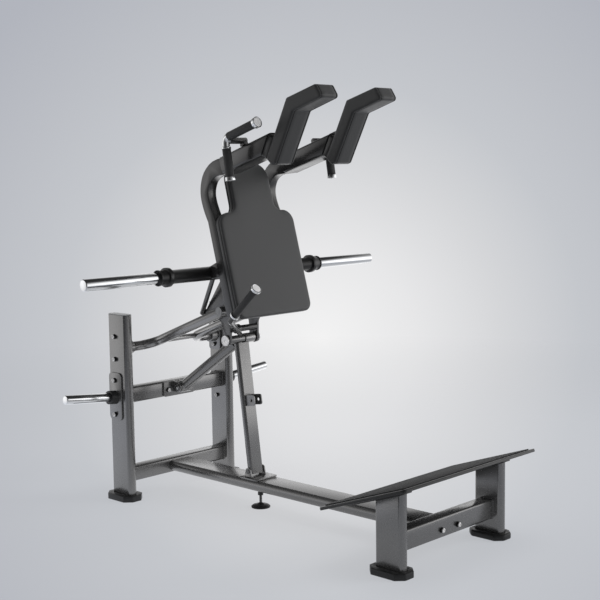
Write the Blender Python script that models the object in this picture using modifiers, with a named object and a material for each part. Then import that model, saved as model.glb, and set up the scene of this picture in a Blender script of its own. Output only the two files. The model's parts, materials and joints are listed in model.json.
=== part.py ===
import bpy
import bmesh
import math
from mathutils import Matrix, Vector

# Squat machine in metres, +Z up. X is across the machine, -Y is towards the platform.
# Places are measured from the floor midway between the two uprights, as (Y, Z) in the
# side plane. The finished model moves along Y, so its origin is under its middle.

# Fits
gap = 0.0003             # between pieces that touch
pin_play = 0.0003        # round a pin that turns in its own bore
weld_depth = 0.001       # overlap of pieces welded into one
cutter_reach = 0.6       # half length of a cutter that goes right through

# Flat-oval frame tube
tube_width = 0.130
tube_thick = 0.046
tube_end_rise = 0.0146   # how far the rounded narrow side stands out

# Uprights and legs
upright_x = 0.300
upright_top = 0.8278
leg_x = 0.306
leg_y = -1.543
shoe_height = 0.026
shoe_floor = 0.006
shoe_side = 0.030        # stands out past the wide faces of the tube
shoe_end = 0.0195        # stands out past its rounded sides
shoe_corner = 0.030

# Cross members and main beam: height of the centre, height and depth
lower_member = (0.109, 0.066, 0.060)
upper_member = (0.466, 0.070, 0.056)
front_member = (0.120, 0.079, 0.060)
member_edge = 0.008
beam_z = 0.108
beam_width = 0.128
beam_height = 0.045
beam_end_rise = 0.012

# Plate storage
storage_plate_thick = 0.007
storage_plate_width = 0.084
storage_plate_bottom = 0.360
storage_plate_top = 0.571
storage_plate_corner = 0.018
storage_y = 0.010
storage_z = 0.4615
storage_tilt = math.radians(5.7)
storage_root = 0.0035    # depth of the collar in its plate
storage_peg_radius = 0.020
storage_peg_length = 0.269
storage_collar_radius = 0.030
storage_collar_length = 0.037

# Linkage pivots
arm_pivot = (0.012, 0.675)
carriage_pivot = (-0.465, 0.857)
link_pivot = (-0.068, 0.4757)
link_front = (-0.455, 0.728)

# Arm bearings on the uprights
bearing_z = 0.681
bearing_plate_thick = 0.009
bearing_plate_width = 0.076
bearing_plate_height = 0.150
bearing_plate_corner = 0.012
bearing_boss_radius = 0.029
bearing_boss_length = 0.036
arm_pin_radius = 0.0125
arm_collar_radius = 0.020
arm_collar_thick = 0.0088
arm_pin_end = 0.276

# Swing arm
arm_tube_radius = 0.022
arm_tube_x = 0.115
arm_end_x = 0.222
arm_bend_radius = 0.075
arm_cope = 0.012         # the tubes end this far before the cross tube's centre
arm_cross_radius = 0.021
arm_cross_half = 0.136
arm_brace_radius = 0.012
arm_brace_along = 0.056  # from the arm's pivot

# Link, its bracket and the axle that joins it to the carriage
link_radius = 0.024
link_tube_end = 0.0413   # from the tube's front end to the sleeve's centre
link_eye_radius = 0.027
link_eye_half = 0.030
link_pin_radius = 0.008
pin_head_radius = 0.013
pin_head_thick = 0.004
bracket_half_width = 0.090
bracket_height = 0.068
bracket_thick = 0.008
bracket_corner = 0.008
bracket_ear_thick = 0.008
bracket_ear_radius = 0.024
tongue_half = 0.010
# Tongue under the sleeve, measured from the sleeve's centre
tongue_shape = [(0, -0.0155), (0.017, -0.0155), (0.040, -0.038), (0.055, -0.028),
                (0.050, -0.003), (0.015, 0.014), (0, 0.0165)]
sleeve_radius = 0.017
sleeve_half = 0.0695
axle_radius = 0.008
axle_play = 0.0022       # the open pivot of the linkage
axle_head_radius = 0.0185
axle_head_thick = 0.006

# Prop that holds the parked carriage
prop_hinge = (-0.530, 0.160)
prop_tail = 0.014        # length behind the hinge
prop_top_gap = 0.0008    # under the link's sleeve
prop_width = 0.076
prop_thick = 0.028
prop_end_rise = 0.009
prop_pin_radius = 0.006
prop_pin_head_radius = 0.010
prop_pin_head_thick = 0.003
prop_lug_radius = 0.016
prop_lug_foot = 0.022
prop_lug_thick = 0.006
prop_base_size = (0.128, 0.110, 0.006)
prop_base_y = -0.548
prop_base_corner = 0.012
catch_height = 0.047
catch_reach = 0.050
catch_thick = 0.006
catch_half_width = 0.024
catch_corner = 0.010
catch_hole = 0.007
catch_hole_out = 0.030   # from the base of the catch
catch_along = 0.305      # from the prop's hinge to the middle of the catch

# Levelling foot under the beam
foot_y = -0.560
foot_radius = 0.0415
foot_stem_radius = 0.006
foot_stem_top = 0.0845
# Radius and height at each step of the foot, from the stem to the floor
foot_steps = [(0.006, 0.021), (0.0166, 0.014), (0.0332, 0.0112), (0.0415, 0.0056)]
foot_boss_radius = 0.0145
foot_boss_height = 0.010

# Platform, from the rear edge to the front edge of its plate's top
platform_half_width = 0.410
platform_rear = (-1.280, 0.219)
platform_front = (-1.685, 0.358)
platform_plate_thick = 0.012
platform_corner = 0.016
mat_thick = 0.004
mat_margin = 0.018
platform_rail_size = (0.044, 0.280, 0.010)

# Carriage rails
rail_x = 0.176
rail_width = 0.048
rail_edge = 0.005
rail_bottom = (-0.605, 0.858)
rail_joint = (-0.501, 1.246)
# Upper bend: centre line and half depth at each point
rail_bend = [(-0.4755, 1.297, 0.024), (-0.4605, 1.345, 0.0245), (-0.4625, 1.387, 0.026),
             (-0.4810, 1.428, 0.029), (-0.5240, 1.460, 0.033)]

# Shoulder arms and pad mounts
arm_inner_x = 0.126
arm_outer_x = 0.226
arm_depth = 0.074
arm_slope = math.radians(17.4)
arm_rear_bottom = (-0.602, 1.437)
arm_bottom_length = 0.2306
arm_top_length = 0.3015
arm_edge = 0.016
mount_length = 0.0298
mount_inset = 0.004
mount_edge = 0.008

# Lower carriage: bar between the rails, couplers, gussets and braces
lower_bar_y = -0.5958
lower_bar_z = 0.885
lower_bar_size = (0.036, 0.040)
coupler_x = 0.080
coupler_thick = 0.010
coupler_front_corner = 0.004
coupler_front = (0.048, 0.011)    # top and bottom of its front edge, above the pivot
# Side plate from that edge down and round: Y and Z from the pivot, corner radius
coupler_shape = [(-0.035, -0.022, 0.020), (-0.015, -0.057, 0.020), (-0.013, -0.152, 0.020),
                 (0.033, -0.152, 0.020), (0.038, -0.057, 0.012), (0.065, -0.034, 0.012),
                 (0.169, -0.034, 0.010), (0.169, -0.006, 0.010), (0.040, 0.012, 0.012),
                 (0.015, 0.045, 0.014)]
bridge_place = (-0.468, 0.775)
bridge_radius = 0.0135
carriage_bearing_radius = 0.034
carriage_bearing_length = 0.0225
brace_radius = 0.010
brace_top = (0.160, -0.466, 1.0150)
brace_foot = (0.088, -0.305, 0.835)
gusset_thick = 0.006
gusset_shape = [(-0.010, 0.033), (0.065, 0.006), (0.135, -0.010), (0.007, 0.1684),
                (-0.023, 0.1684)]

# Loading horns
horn_axis = (-0.470, 1.0254)
horn_sleeve_radius = 0.029
horn_sleeve_end = 0.412
horn_collar_radius = 0.040
horn_collar_length = 0.018
horn_hub_radius = 0.031
horn_hub_end = 0.470
horn_end = 0.8355
horn_radius = 0.024
bar_chamfer = 0.003
saddle_half_height = 0.034
saddle_width = 0.044
saddle_back_half = 0.0232
saddle_edge = 0.004

# Back pad
pad_bottom = (-0.6351, 0.8382)
pad_length = 0.655
pad_half_width = 0.215
pad_shoulder = 0.447     # up the pad to the ledge where it narrows
pad_neck_half = 0.115
pad_head_half = 0.112
pad_bottom_corner = 0.038
pad_shoulder_corner = 0.055
pad_neck_corner = 0.038
pad_head_corner = 0.070
pad_side = 0.029
pad_crown = 0.007
pad_reach = 0.014        # how far in from the edge the crown rises
pad_drawn_in = 0.003
board_thick = 0.012
board_inset = 0.005

# Shoulder pads: the outline's Y and Z from the pad's rear bottom corner
shoulder_x = 0.1735
shoulder_half = 0.0525
shoulder_crown = 0.007
shoulder_reach = 0.008
shoulder_corner = 0.013
shoulder_rear_length = 0.2558
shoulder_rear_rise = 0.0062    # up the seam from its bottom
shoulder_outline = [(-0.268, 0.275), (-0.300, 0.225), (-0.152, 0.178), (-0.051, -0.021),
                    (-0.030, -0.028)]

# Handles
handle_x = 0.298
handle_bar_radius = 0.0125
handle_foot = (-0.7264, 1.4140)
handle_corner = (-0.7010, 1.5786)
handle_front = (-0.8760, 1.6340)
handle_bend = 0.018
upper_grip_radius = 0.0175
upper_grip_start = 0.0135
upper_grip_length = 0.1112
inclined_grip_start = 0.0240
inclined_grip_end = 0.0050
handle_bracket_radius = 0.013
handle_bracket_inner = 0.198
handle_bracket_place = (-0.7120, 1.5700)
bracket_foot_width = 0.024
bracket_foot_depth = 0.030
bracket_foot_top = 0.020
bracket_foot_edge = 0.003

# Release lever, on the bridge bar at the left
lever_hub = (-0.045, -0.025)
lever_hub_radius = 0.020
lever_radius = 0.011
lever_root = (-0.035, -0.484, 0.757)
lever_knee = (-0.243, -0.650, 0.842)
lever_end = (-0.245, -0.803, 0.981)
lever_bend = 0.020
lever_ring_radius = 0.020
lever_ring_length = 0.008
lever_ring_start = 0.034     # from the knee
lever_grip_radius = 0.015

sides = ((-1, "left"), (1, "right"))
# Share of a pad's reach and of its crown at each ring of its face
pad_rings = ((0.07, 0.34), (0.17, 0.30), (0.27, 0.22), (0.45, 0.14))
machine = bpy.data.collections.new("squat_machine")
cutters = bpy.data.collections.new("cutters")
materials = {}


def clear_scene():
    for item in list(bpy.data.objects):
        bpy.data.objects.remove(item, do_unlink=True)
    bpy.context.scene.collection.children.link(machine)
    bpy.context.scene.collection.children.link(cutters)


def material(name, colour, roughness, metallic):
    look = bpy.data.materials.new(name)
    look.use_nodes = True
    shader = look.node_tree.nodes["Principled BSDF"]
    shader.inputs["Base Color"].default_value = (*colour, 1.0)
    shader.inputs["Roughness"].default_value = roughness
    shader.inputs["Metallic"].default_value = metallic
    look.diffuse_color = (*colour, 1.0)
    materials[name] = look


def make_materials():
    material("frame_grey", (0.33, 0.34, 0.35), 0.38, 0.45)
    material("arm_silver", (0.46, 0.47, 0.48), 0.34, 0.55)
    material("carriage_charcoal", (0.075, 0.077, 0.082), 0.42, 0.30)
    material("black_paint", (0.020, 0.020, 0.022), 0.40, 0.10)
    material("chrome", (0.80, 0.80, 0.82), 0.12, 1.0)
    material("rubber", (0.025, 0.025, 0.026), 0.75, 0.0)
    material("upholstery", (0.060, 0.060, 0.064), 0.55, 0.0)
    material("tread", (0.045, 0.045, 0.047), 0.80, 0.0)


def finish(item, name, slot):
    item.name = name
    item.data.name = name
    item.data.materials.clear()
    item.data.materials.append(materials[slot])
    machine.objects.link(item)
    return item


def as_cutter(item, name):
    item.name = name
    item.hide_render = True
    item.display_type = "WIRE"
    cutters.objects.link(item)
    return item


def settle(item):
    """Turn a curve or a modified object into a plain closed mesh."""
    bpy.context.scene.collection.objects.link(item)
    graph = bpy.context.evaluated_depsgraph_get()
    mesh = bpy.data.meshes.new_from_object(item.evaluated_get(graph))
    solid = bpy.data.objects.new(item.name, mesh)
    solid.matrix_world = item.matrix_world
    shape = bmesh.new()
    shape.from_mesh(mesh)
    bmesh.ops.remove_doubles(shape, verts=shape.verts, dist=0.00001)
    bmesh.ops.recalc_face_normals(shape, faces=shape.faces)
    shape.to_mesh(mesh)
    shape.free()
    bpy.data.objects.remove(item, do_unlink=True)
    return solid


def smooth(item, angle=35):
    item.data.shade_smooth()
    item.data.set_sharp_from_angle(angle=math.radians(angle))
    return item


def cut(item, *tools, operation="DIFFERENCE"):
    for tool in tools:
        step = item.modifiers.new(tool.name, "BOOLEAN")
        step.operation = operation
        step.object = tool
        step.solver = "EXACT"
    return item


def welded(base, others, holes=()):
    """One solid from overlapping ones, less the holes."""
    cut(base, *[as_cutter(item, "weld") for item in others], operation="UNION")
    cut(base, *[as_cutter(item, "hole") for item in holes])
    return base


def spot(x, y, z):
    return Matrix.Translation((x, y, z))


def side_frame(x):
    """Local X and Y are the machine's Y and Z, and local Z is across it."""
    return Matrix(((0, 0, 1, x), (1, 0, 0, 0), (0, 1, 0, 0), (0, 0, 0, 1)))


def across_frame(place, up):
    """Local X is the machine's X, local Y is up in the side plane, local Z is square to both."""
    return Matrix(((1, 0, 0, 0), (0, up[0], -up[1], place[0]), (0, up[1], up[0], place[1]),
                   (0, 0, 0, 1)))


def at(side, x, place):
    return Vector((side * x, place[0], place[1]))


def placed(shape, origin):
    """An outline of offsets, moved to its place in the side plane."""
    return [(origin[0] + y, origin[1] + z) for y, z in shape]


def heading(start, end):
    return (Vector(end) - Vector(start)).normalized()


def square_to(direction):
    """The rear or upper normal of a side-plane direction that runs up or forward."""
    return Vector((direction[1], -direction[0]))


def box(size, frame):
    shape = bmesh.new()
    bmesh.ops.create_cube(shape, size=1.0, matrix=Matrix.Diagonal((*size, 1.0)))
    mesh = bpy.data.meshes.new("box")
    shape.to_mesh(mesh)
    shape.free()
    item = bpy.data.objects.new("box", mesh)
    item.matrix_world = frame
    return item


def facing(direction):
    return Vector(direction).normalized().to_track_quat("Z", "Y").to_matrix().to_4x4()


def rod(start, end, radius, count=32):
    start = Vector(start)
    end = Vector(end)
    shape = bmesh.new()
    bmesh.ops.create_cone(shape, cap_ends=True, segments=count, radius1=radius, radius2=radius,
                          depth=(end - start).length)
    mesh = bpy.data.meshes.new("rod")
    shape.to_mesh(mesh)
    shape.free()
    item = bpy.data.objects.new("rod", mesh)
    item.matrix_world = Matrix.Translation((start + end) / 2) @ facing(end - start)
    return smooth(item)


def turned(profile, start, direction, count=24, closed=False):
    """A profile of (radius, height) points, turned round the axis from start."""
    mesh = bpy.data.meshes.new("turned")
    edges = [(i, i + 1) for i in range(len(profile) - 1)]
    if closed:
        edges.append((len(profile) - 1, 0))
    mesh.from_pydata([(r, 0, z) for r, z in profile], edges, [])
    item = bpy.data.objects.new("turned", mesh)
    item.matrix_world = Matrix.Translation(start) @ facing(direction)
    spin = item.modifiers.new("spin", "SCREW")
    spin.steps = count
    spin.render_steps = count
    spin.use_merge_vertices = True
    spin.merge_threshold = 0.00001
    return smooth(settle(item))


def ring(start, end, radius, bore, count=24):
    start = Vector(start)
    end = Vector(end)
    length = (end - start).length
    profile = [(radius, length), (radius, 0), (bore, 0), (bore, length)]
    return turned(profile, start, end - start, count, closed=True)


def headed_pin(place, half, radius, head_radius, head_thick):
    """A pin across the machine with a head past each end of half."""
    length = 2 * (half + head_thick)
    profile = [(0, length), (head_radius, length), (head_radius, length - head_thick),
               (radius, length - head_thick), (radius, head_thick), (head_radius, head_thick),
               (head_radius, 0), (0, 0)]
    return turned(profile, at(-1, half + head_thick, place), (1, 0, 0))


def cross_rod(place, half, radius, count=24):
    """A rod across the machine, centred on a side-plane place."""
    return rod(at(-1, half, place), at(1, half, place), radius, count)


def rounded(corners, radius, steps=4):
    """Points of a closed outline whose corners are arcs; radius is one value or a list."""
    points = []
    for i, corner in enumerate(corners):
        here = Vector(corner)
        before = (Vector(corners[i - 1]) - here).normalized()
        after = (Vector(corners[(i + 1) % len(corners)]) - here).normalized()
        r = radius[i] if isinstance(radius, list) else radius
        half = before.angle(after) / 2
        if r <= 0:
            points.append(here)
            continue
        centre = here + (before + after).normalized() * r / math.sin(half)
        first = here + before * r / math.tan(half) - centre
        last = here + after * r / math.tan(half) - centre
        sweep = first.angle_signed(last)
        for k in range(steps + 1):
            points.append(centre + Matrix.Rotation(-sweep * k / steps, 2) @ first)
    return points


def rectangle(width, height, corner, centre=(0, 0), steps=3):
    a, b = centre
    corners = [(a - width / 2, b - height / 2), (a + width / 2, b - height / 2),
               (a + width / 2, b + height / 2), (a - width / 2, b + height / 2)]
    return rounded(corners, corner, steps)


def flat_oval(width, thick, rise, steps=8):
    """A tube section with two flat sides and two arcs; width lies along the first axis."""
    radius = (thick ** 2 / 4 + rise ** 2) / (2 * rise)
    middle = width / 2 - radius
    swing = math.asin(min(1.0, thick / 2 / radius))
    right = []
    for k in range(steps + 1):
        angle = -swing + 2 * swing * k / steps
        right.append(Vector((middle + radius * math.cos(angle), radius * math.sin(angle))))
    return right + [Vector((-p.x, -p.y)) for p in right]


def arc(centre, radius, first, last, steps=12):
    """Points of an arc between two angles in degrees."""
    angles = [math.radians(first + (last - first) * k / steps) for k in range(steps + 1)]
    return [Vector((centre[0] + radius * math.cos(a), centre[1] + radius * math.sin(a)))
            for a in angles]


def circle(centre, radius, steps=24):
    return arc(centre, radius, 0, 360, steps)[:-1]


def extruded(outline, thick, frame, holes=()):
    """A filled 2D curve, thick along the third axis of frame and centred on it."""
    curve = bpy.data.curves.new("outline", "CURVE")
    curve.dimensions = "2D"
    curve.fill_mode = "BOTH"
    curve.extrude = thick / 2
    for loop in [outline, *holes]:
        line = curve.splines.new("POLY")
        line.points.add(len(loop) - 1)
        for point, place in zip(line.points, loop):
            point.co = (place[0], place[1], 0, 1)
        line.use_cyclic_u = True
    item = bpy.data.objects.new("outline", curve)
    item.matrix_world = frame
    return smooth(settle(item))


def swept_bar(stations, side, inner, outer, edge, steps=3):
    """A loft across the machine; each station is the front and rear point of a section."""
    shape = bmesh.new()
    loops = []
    for front, rear in stations:
        depth = (Vector(rear) - Vector(front)).length
        section = rounded([(inner, 0), (outer, 0), (outer, depth), (inner, depth)], edge, steps)
        loops.append([shape.verts.new(at(side, p.x, Vector(front).lerp(Vector(rear), p.y / depth)))
                      for p in section])
    for near, far in zip(loops, loops[1:]):
        for i in range(len(near)):
            shape.faces.new((near[i - 1], near[i], far[i], far[i - 1]))
    shape.faces.new(loops[0])
    shape.faces.new(loops[-1])
    bmesh.ops.recalc_face_normals(shape, faces=shape.faces)
    mesh = bpy.data.meshes.new("bar")
    shape.to_mesh(mesh)
    shape.free()
    return smooth(bpy.data.objects.new("bar", mesh))


def through(points, steps):
    """A smooth curve through points of any dimension."""
    size = len(points[0])
    rows = [tuple(2 * points[0][k] - points[1][k] for k in range(size)), *points,
            tuple(2 * points[-1][k] - points[-2][k] for k in range(size))]
    line = []
    for a, b, c, d in zip(rows, rows[1:], rows[2:], rows[3:]):
        for step in range(steps):
            t = step / steps
            line.append(tuple(0.5 * (2 * b[k] + (c[k] - a[k]) * t
                                     + (2 * a[k] - 5 * b[k] + 4 * c[k] - d[k]) * t ** 2
                                     + (3 * b[k] - a[k] - 3 * c[k] + d[k]) * t ** 3)
                              for k in range(size)))
    return line + [tuple(points[-1])]


def tube(points, radius, resolution=6):
    """A round bar along points, as a closed mesh with 2 * resolution + 4 sides."""
    curve = bpy.data.curves.new("bar", "CURVE")
    curve.dimensions = "3D"
    curve.bevel_depth = radius
    curve.bevel_resolution = resolution
    curve.use_fill_caps = True
    line = curve.splines.new("POLY")
    line.points.add(len(points) - 1)
    for point, place in zip(line.points, points):
        point.co = (*place, 1)
    return smooth(settle(bpy.data.objects.new("bar", curve)))


def smooth_path(corners, radius, steps=6):
    """3D points along straight runs joined by arcs."""
    points = [Vector(corners[0])]
    for before, here, after in zip(corners, corners[1:], corners[2:]):
        here = Vector(here)
        back = (Vector(before) - here).normalized()
        ahead = (Vector(after) - here).normalized()
        half = back.angle(ahead) / 2
        reach = radius / math.tan(half)
        centre = here + (back + ahead).normalized() * radius / math.sin(half)
        first = here + back * reach - centre
        last = here + ahead * reach - centre
        turn_axis = first.cross(last)
        sweep = first.angle(last)
        for k in range(steps + 1):
            points.append(centre + Matrix.Rotation(sweep * k / steps, 3, turn_axis) @ first)
    points.append(Vector(corners[-1]))
    return points


def cushion(outline, side, crown, reach, frame, mirrored):
    """A pad: its outline is raised, and its face drawn in ring by ring as it rises."""
    flat = extruded(outline, 0, Matrix())
    shape = bmesh.new()
    shape.from_mesh(flat.data)
    bpy.data.objects.remove(flat, do_unlink=True)
    bmesh.ops.dissolve_limit(shape, angle_limit=0.01, verts=shape.verts, edges=shape.edges)
    raised = bmesh.ops.extrude_face_region(shape, geom=list(shape.faces))
    lifted = [g for g in raised["geom"] if isinstance(g, bmesh.types.BMVert)]
    bmesh.ops.translate(shape, verts=lifted, vec=(0, 0, side))
    bmesh.ops.recalc_face_normals(shape, faces=shape.faces)
    low = [f for f in shape.faces if f.calc_center_median().z < side / 100]
    if mirrored:
        bmesh.ops.delete(shape, geom=low, context="FACES_ONLY")
    face = max(shape.faces, key=lambda f: f.calc_center_median().z)
    for inset, rise in pad_rings:
        bmesh.ops.inset_region(shape, faces=[face], thickness=inset * reach, depth=rise * crown,
                               use_even_offset=True)
    mesh = bpy.data.meshes.new("cushion")
    shape.to_mesh(mesh)
    shape.free()
    item = bpy.data.objects.new("cushion", mesh)
    item.matrix_world = frame
    if mirrored:
        halves = item.modifiers.new("other_side", "MIRROR")
        halves.use_axis = (False, False, True)
        halves.merge_threshold = 0.00001
    return smooth(item, 50)


def upright_section(clearance=0):
    section = flat_oval(tube_width + 2 * clearance, tube_thick + 2 * clearance, tube_end_rise)
    return [(-p.y, p.x) for p in section]


def frame_tube(bottom, top, x, y):
    return extruded(upright_section(), top - bottom, spot(x, y, (top + bottom) / 2))


def uprights():
    for side, word in sides:
        post = frame_tube(shoe_floor + gap, upright_top, side * upright_x, 0)
        finish(post, "upright_" + word, "frame_grey")


def shoe(name, x, y):
    half_x = tube_thick / 2 + shoe_side
    half_y = tube_width / 2 + shoe_end
    corners = [(half_x, -half_y + shoe_corner), (half_x, half_y - shoe_corner),
               (half_x - shoe_corner, half_y), (-half_x + shoe_corner, half_y),
               (-half_x, half_y - shoe_corner), (-half_x, -half_y + shoe_corner),
               (-half_x + shoe_corner, -half_y), (half_x - shoe_corner, -half_y)]
    body = extruded(corners, shoe_height, spot(x, y, shoe_height / 2))
    pocket = extruded(upright_section(gap), shoe_height, spot(x, y, shoe_floor + shoe_height / 2))
    finish(welded(body, [], [pocket]), name, "rubber")


def shoes():
    for side, word in sides:
        shoe("rear_shoe_" + word, side * upright_x, 0)
        shoe("front_shoe_" + word, side * leg_x, leg_y)


def crossmember(name, size, y, post_x):
    z, height, depth = size
    reach = post_x - tube_thick / 2 - gap
    outline = rectangle(depth, height, member_edge, (y, z))
    finish(extruded(outline, 2 * reach, side_frame(0)), name, "frame_grey")


def crossmembers():
    crossmember("lower_crossmember", lower_member, 0, upright_x)
    crossmember("upper_crossmember", upper_member, 0, upright_x)
    crossmember("front_crossmember", front_member, leg_y, leg_x)


def main_beam():
    rear = -lower_member[2] / 2 - gap
    front = leg_y + front_member[2] / 2 + gap
    section = flat_oval(beam_width, beam_height, beam_end_rise)
    frame = across_frame(((rear + front) / 2, beam_z), (0, 1))
    beam = extruded(section, rear - front, frame)
    bottom = beam_z - beam_height / 2
    boss = rod((0, foot_y, bottom - foot_boss_height), (0, foot_y, bottom + weld_depth),
               foot_boss_radius, 20)
    bore = rod((0, foot_y, 0), (0, foot_y, foot_stem_top + gap), foot_stem_radius + pin_play, 20)
    finish(welded(beam, [boss], [bore]), "main_beam", "frame_grey")


def platform_place():
    middle = (Vector(platform_rear) + Vector(platform_front)) / 2
    return across_frame(middle, heading(platform_front, platform_rear))


def platform():
    place = platform_place()
    length = (Vector(platform_rear) - Vector(platform_front)).length
    width = 2 * platform_half_width
    plate = extruded(rectangle(width, length, platform_corner), platform_plate_thick,
                     place @ spot(0, 0, -platform_plate_thick / 2))
    finish(plate, "platform_plate", "frame_grey")
    margin = 2 * mat_margin
    mat = extruded(rectangle(width - margin, length - margin, platform_corner / 2), mat_thick,
                   place @ spot(0, 0, gap + mat_thick / 2))
    finish(mat, "tread_mat", "tread")


def platform_rails():
    place = platform_place()
    depth = -platform_plate_thick - gap - platform_rail_size[2] / 2
    for side, word in sides:
        rail = box(platform_rail_size, place @ spot(side * leg_x, 0, depth))
        finish(rail, "platform_rail_" + word, "frame_grey")


def front_legs():
    place = platform_place()
    underside = -platform_plate_thick - platform_rail_size[2] - 2 * gap
    size = (2 * cutter_reach, cutter_reach, cutter_reach)
    clear = as_cutter(box(size, place @ spot(0, 0, underside + cutter_reach / 2)), "above_legs")
    for side, word in sides:
        leg = frame_tube(shoe_floor + gap, platform_front[1], side * leg_x, leg_y)
        finish(cut(leg, clear), "front_leg_" + word, "frame_grey")


def storage_face():
    return upright_x + tube_thick / 2 + gap + storage_plate_thick


def storage():
    face = storage_face()
    height = storage_plate_top - storage_plate_bottom
    middle = (storage_plate_top + storage_plate_bottom) / 2
    size = (2 * (face + gap), cutter_reach, cutter_reach)
    wall = as_cutter(box(size, spot(0, storage_y, storage_z)), "plate_wall")
    for side, word in sides:
        outline = rectangle(storage_plate_width, height, storage_plate_corner, (storage_y, middle))
        plate = extruded(outline, storage_plate_thick,
                         side_frame(side * (face - storage_plate_thick / 2)))
        out = Vector((side * math.cos(storage_tilt), 0, math.sin(storage_tilt)))
        start = Vector((side * face, storage_y, storage_z)) - out * storage_root
        collar = ring(start, start + out * (storage_root + storage_collar_length),
                      storage_collar_radius, storage_peg_radius + gap)
        finish(welded(plate, [collar]), "storage_plate_" + word, "frame_grey")
        length = storage_root + storage_peg_length
        profile = [(0, length), (storage_peg_radius - bar_chamfer, length),
                   (storage_peg_radius, length - bar_chamfer), (storage_peg_radius, 0), (0, 0)]
        finish(cut(turned(profile, start, out), wall), "storage_peg_" + word, "chrome")


def bearing_face():
    return upright_x - tube_thick / 2 - gap - bearing_plate_thick


def pivot_bearings():
    face = bearing_face()
    for side, word in sides:
        outline = rectangle(bearing_plate_width, bearing_plate_height, bearing_plate_corner,
                            (arm_pivot[0], bearing_z))
        plate = extruded(outline, bearing_plate_thick,
                         side_frame(side * (face + bearing_plate_thick / 2)))
        boss = rod(at(side, face + weld_depth, arm_pivot),
                   at(side, face - bearing_boss_length, arm_pivot), bearing_boss_radius)
        bore = cross_rod(arm_pivot, cutter_reach, arm_pin_radius + pin_play)
        finish(welded(plate, [boss], [bore]), "pivot_bearing_" + word, "frame_grey")


def link_bracket():
    rear = -upper_member[2] / 2 - gap
    frame = across_frame((rear - bracket_thick / 2, upper_member[0]), (0, 1))
    outline = rectangle(2 * bracket_half_width, bracket_height, bracket_corner)
    plate = extruded(outline, bracket_thick, frame)
    y, z = link_pivot
    root_y = rear - bracket_thick / 2
    outline = [(root_y, z - bracket_ear_radius), *arc(link_pivot, bracket_ear_radius, 270, 90),
               (root_y, z + bracket_ear_radius)]
    ear_x = link_eye_half + gap + bracket_ear_thick / 2
    hole = circle(link_pivot, link_pin_radius + pin_play)
    ears = [extruded(outline, bracket_ear_thick, side_frame(x), [hole]) for x in (-ear_x, ear_x)]
    finish(welded(plate, ears), "link_bracket", "carriage_charcoal")
    half = link_eye_half + 2 * gap + bracket_ear_thick
    pin = headed_pin(link_pivot, half, link_pin_radius, pin_head_radius, pin_head_thick)
    finish(pin, "link_pin", "chrome")


def prop_base():
    width, depth, thick = prop_base_size
    bottom = beam_z + beam_height / 2 + gap
    foot = bottom + thick / 2
    plate = extruded(rectangle(width, depth, prop_base_corner), thick, spot(0, prop_base_y, foot))
    y = prop_hinge[0]
    outline = [(y - prop_lug_foot, foot), (y + prop_lug_foot, foot),
               *arc(prop_hinge, prop_lug_radius, 0, 180)]
    lug_x = prop_width / 2 + gap + prop_lug_thick / 2
    hole = circle(prop_hinge, prop_pin_radius + pin_play)
    lugs = [extruded(outline, prop_lug_thick, side_frame(x), [hole]) for x in (-lug_x, lug_x)]
    finish(welded(plate, lugs), "prop_base", "frame_grey")
    half = prop_width / 2 + 2 * gap + prop_lug_thick
    pin = headed_pin(prop_hinge, half, prop_pin_radius, prop_pin_head_radius,
                     prop_pin_head_thick)
    finish(pin, "prop_pin", "chrome")


def levelling_foot():
    profile = [(0, foot_stem_top), (foot_stem_radius, foot_stem_top), *foot_steps,
               (foot_radius, 0), (0, 0)]
    finish(turned(profile, (0, foot_y, 0), (0, 0, 1), 28), "levelling_foot", "rubber")


def arm_line(side):
    """The bent centre line of one arm tube, from its pin to the cross tube."""
    forward = heading(arm_pivot, carriage_pivot)
    end = Vector(carriage_pivot) - forward * arm_cope
    corners = [at(side, arm_end_x, arm_pivot), at(side, arm_tube_x, arm_pivot),
               at(side, arm_tube_x, end)]
    return smooth_path(corners, arm_bend_radius, 8)


def arm_pin(side):
    """The stub axle welded to an arm tube's end, with the collar that locates it."""
    start = arm_end_x - weld_depth
    shoulder = weld_depth + arm_collar_thick
    length = arm_pin_end - start
    profile = [(0, length), (arm_pin_radius, length), (arm_pin_radius, shoulder),
               (arm_collar_radius, shoulder), (arm_collar_radius, 0), (0, 0)]
    return turned(profile, at(side, start, arm_pivot), (side, 0, 0))


def swing_arm():
    for side, word in sides:
        cope = cross_rod(carriage_pivot, arm_cross_half + arm_tube_radius, arm_cross_radius + gap, 32)
        bar = welded(tube(arm_line(side), arm_tube_radius), [arm_pin(side)], [cope])
        finish(bar, "arm_tube_" + word, "arm_silver")
    finish(cross_rod(carriage_pivot, arm_cross_half, arm_cross_radius, 32), "arm_cross_tube",
           "arm_silver")


def arm_brace():
    copes = [as_cutter(tube(arm_line(side), arm_tube_radius + gap), "brace_cope_" + word)
             for side, word in sides]
    place = Vector(arm_pivot) + heading(arm_pivot, carriage_pivot) * arm_brace_along
    bar = cross_rod(place, arm_tube_x, arm_brace_radius, 20)
    finish(cut(bar, *copes), "arm_brace", "arm_silver")


def lower_link():
    forward = heading(link_pivot, link_front)
    tube_end = Vector(link_front) - forward * link_tube_end
    bar = rod(at(1, 0, link_pivot), at(1, 0, tube_end), link_radius, 28)
    eye = cross_rod(link_pivot, link_eye_half, link_eye_radius, 28)
    sleeve = cross_rod(link_front, sleeve_half, sleeve_radius, 28)
    tongue = extruded(placed(tongue_shape, link_front), 2 * tongue_half, side_frame(0))
    bores = [cross_rod(link_pivot, cutter_reach, link_pin_radius + pin_play),
             cross_rod(link_front, cutter_reach, axle_radius + axle_play)]
    finish(welded(bar, [eye, sleeve, tongue], bores), "lower_link", "carriage_charcoal")


def prop_direction():
    return heading(prop_hinge, link_front)


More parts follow.
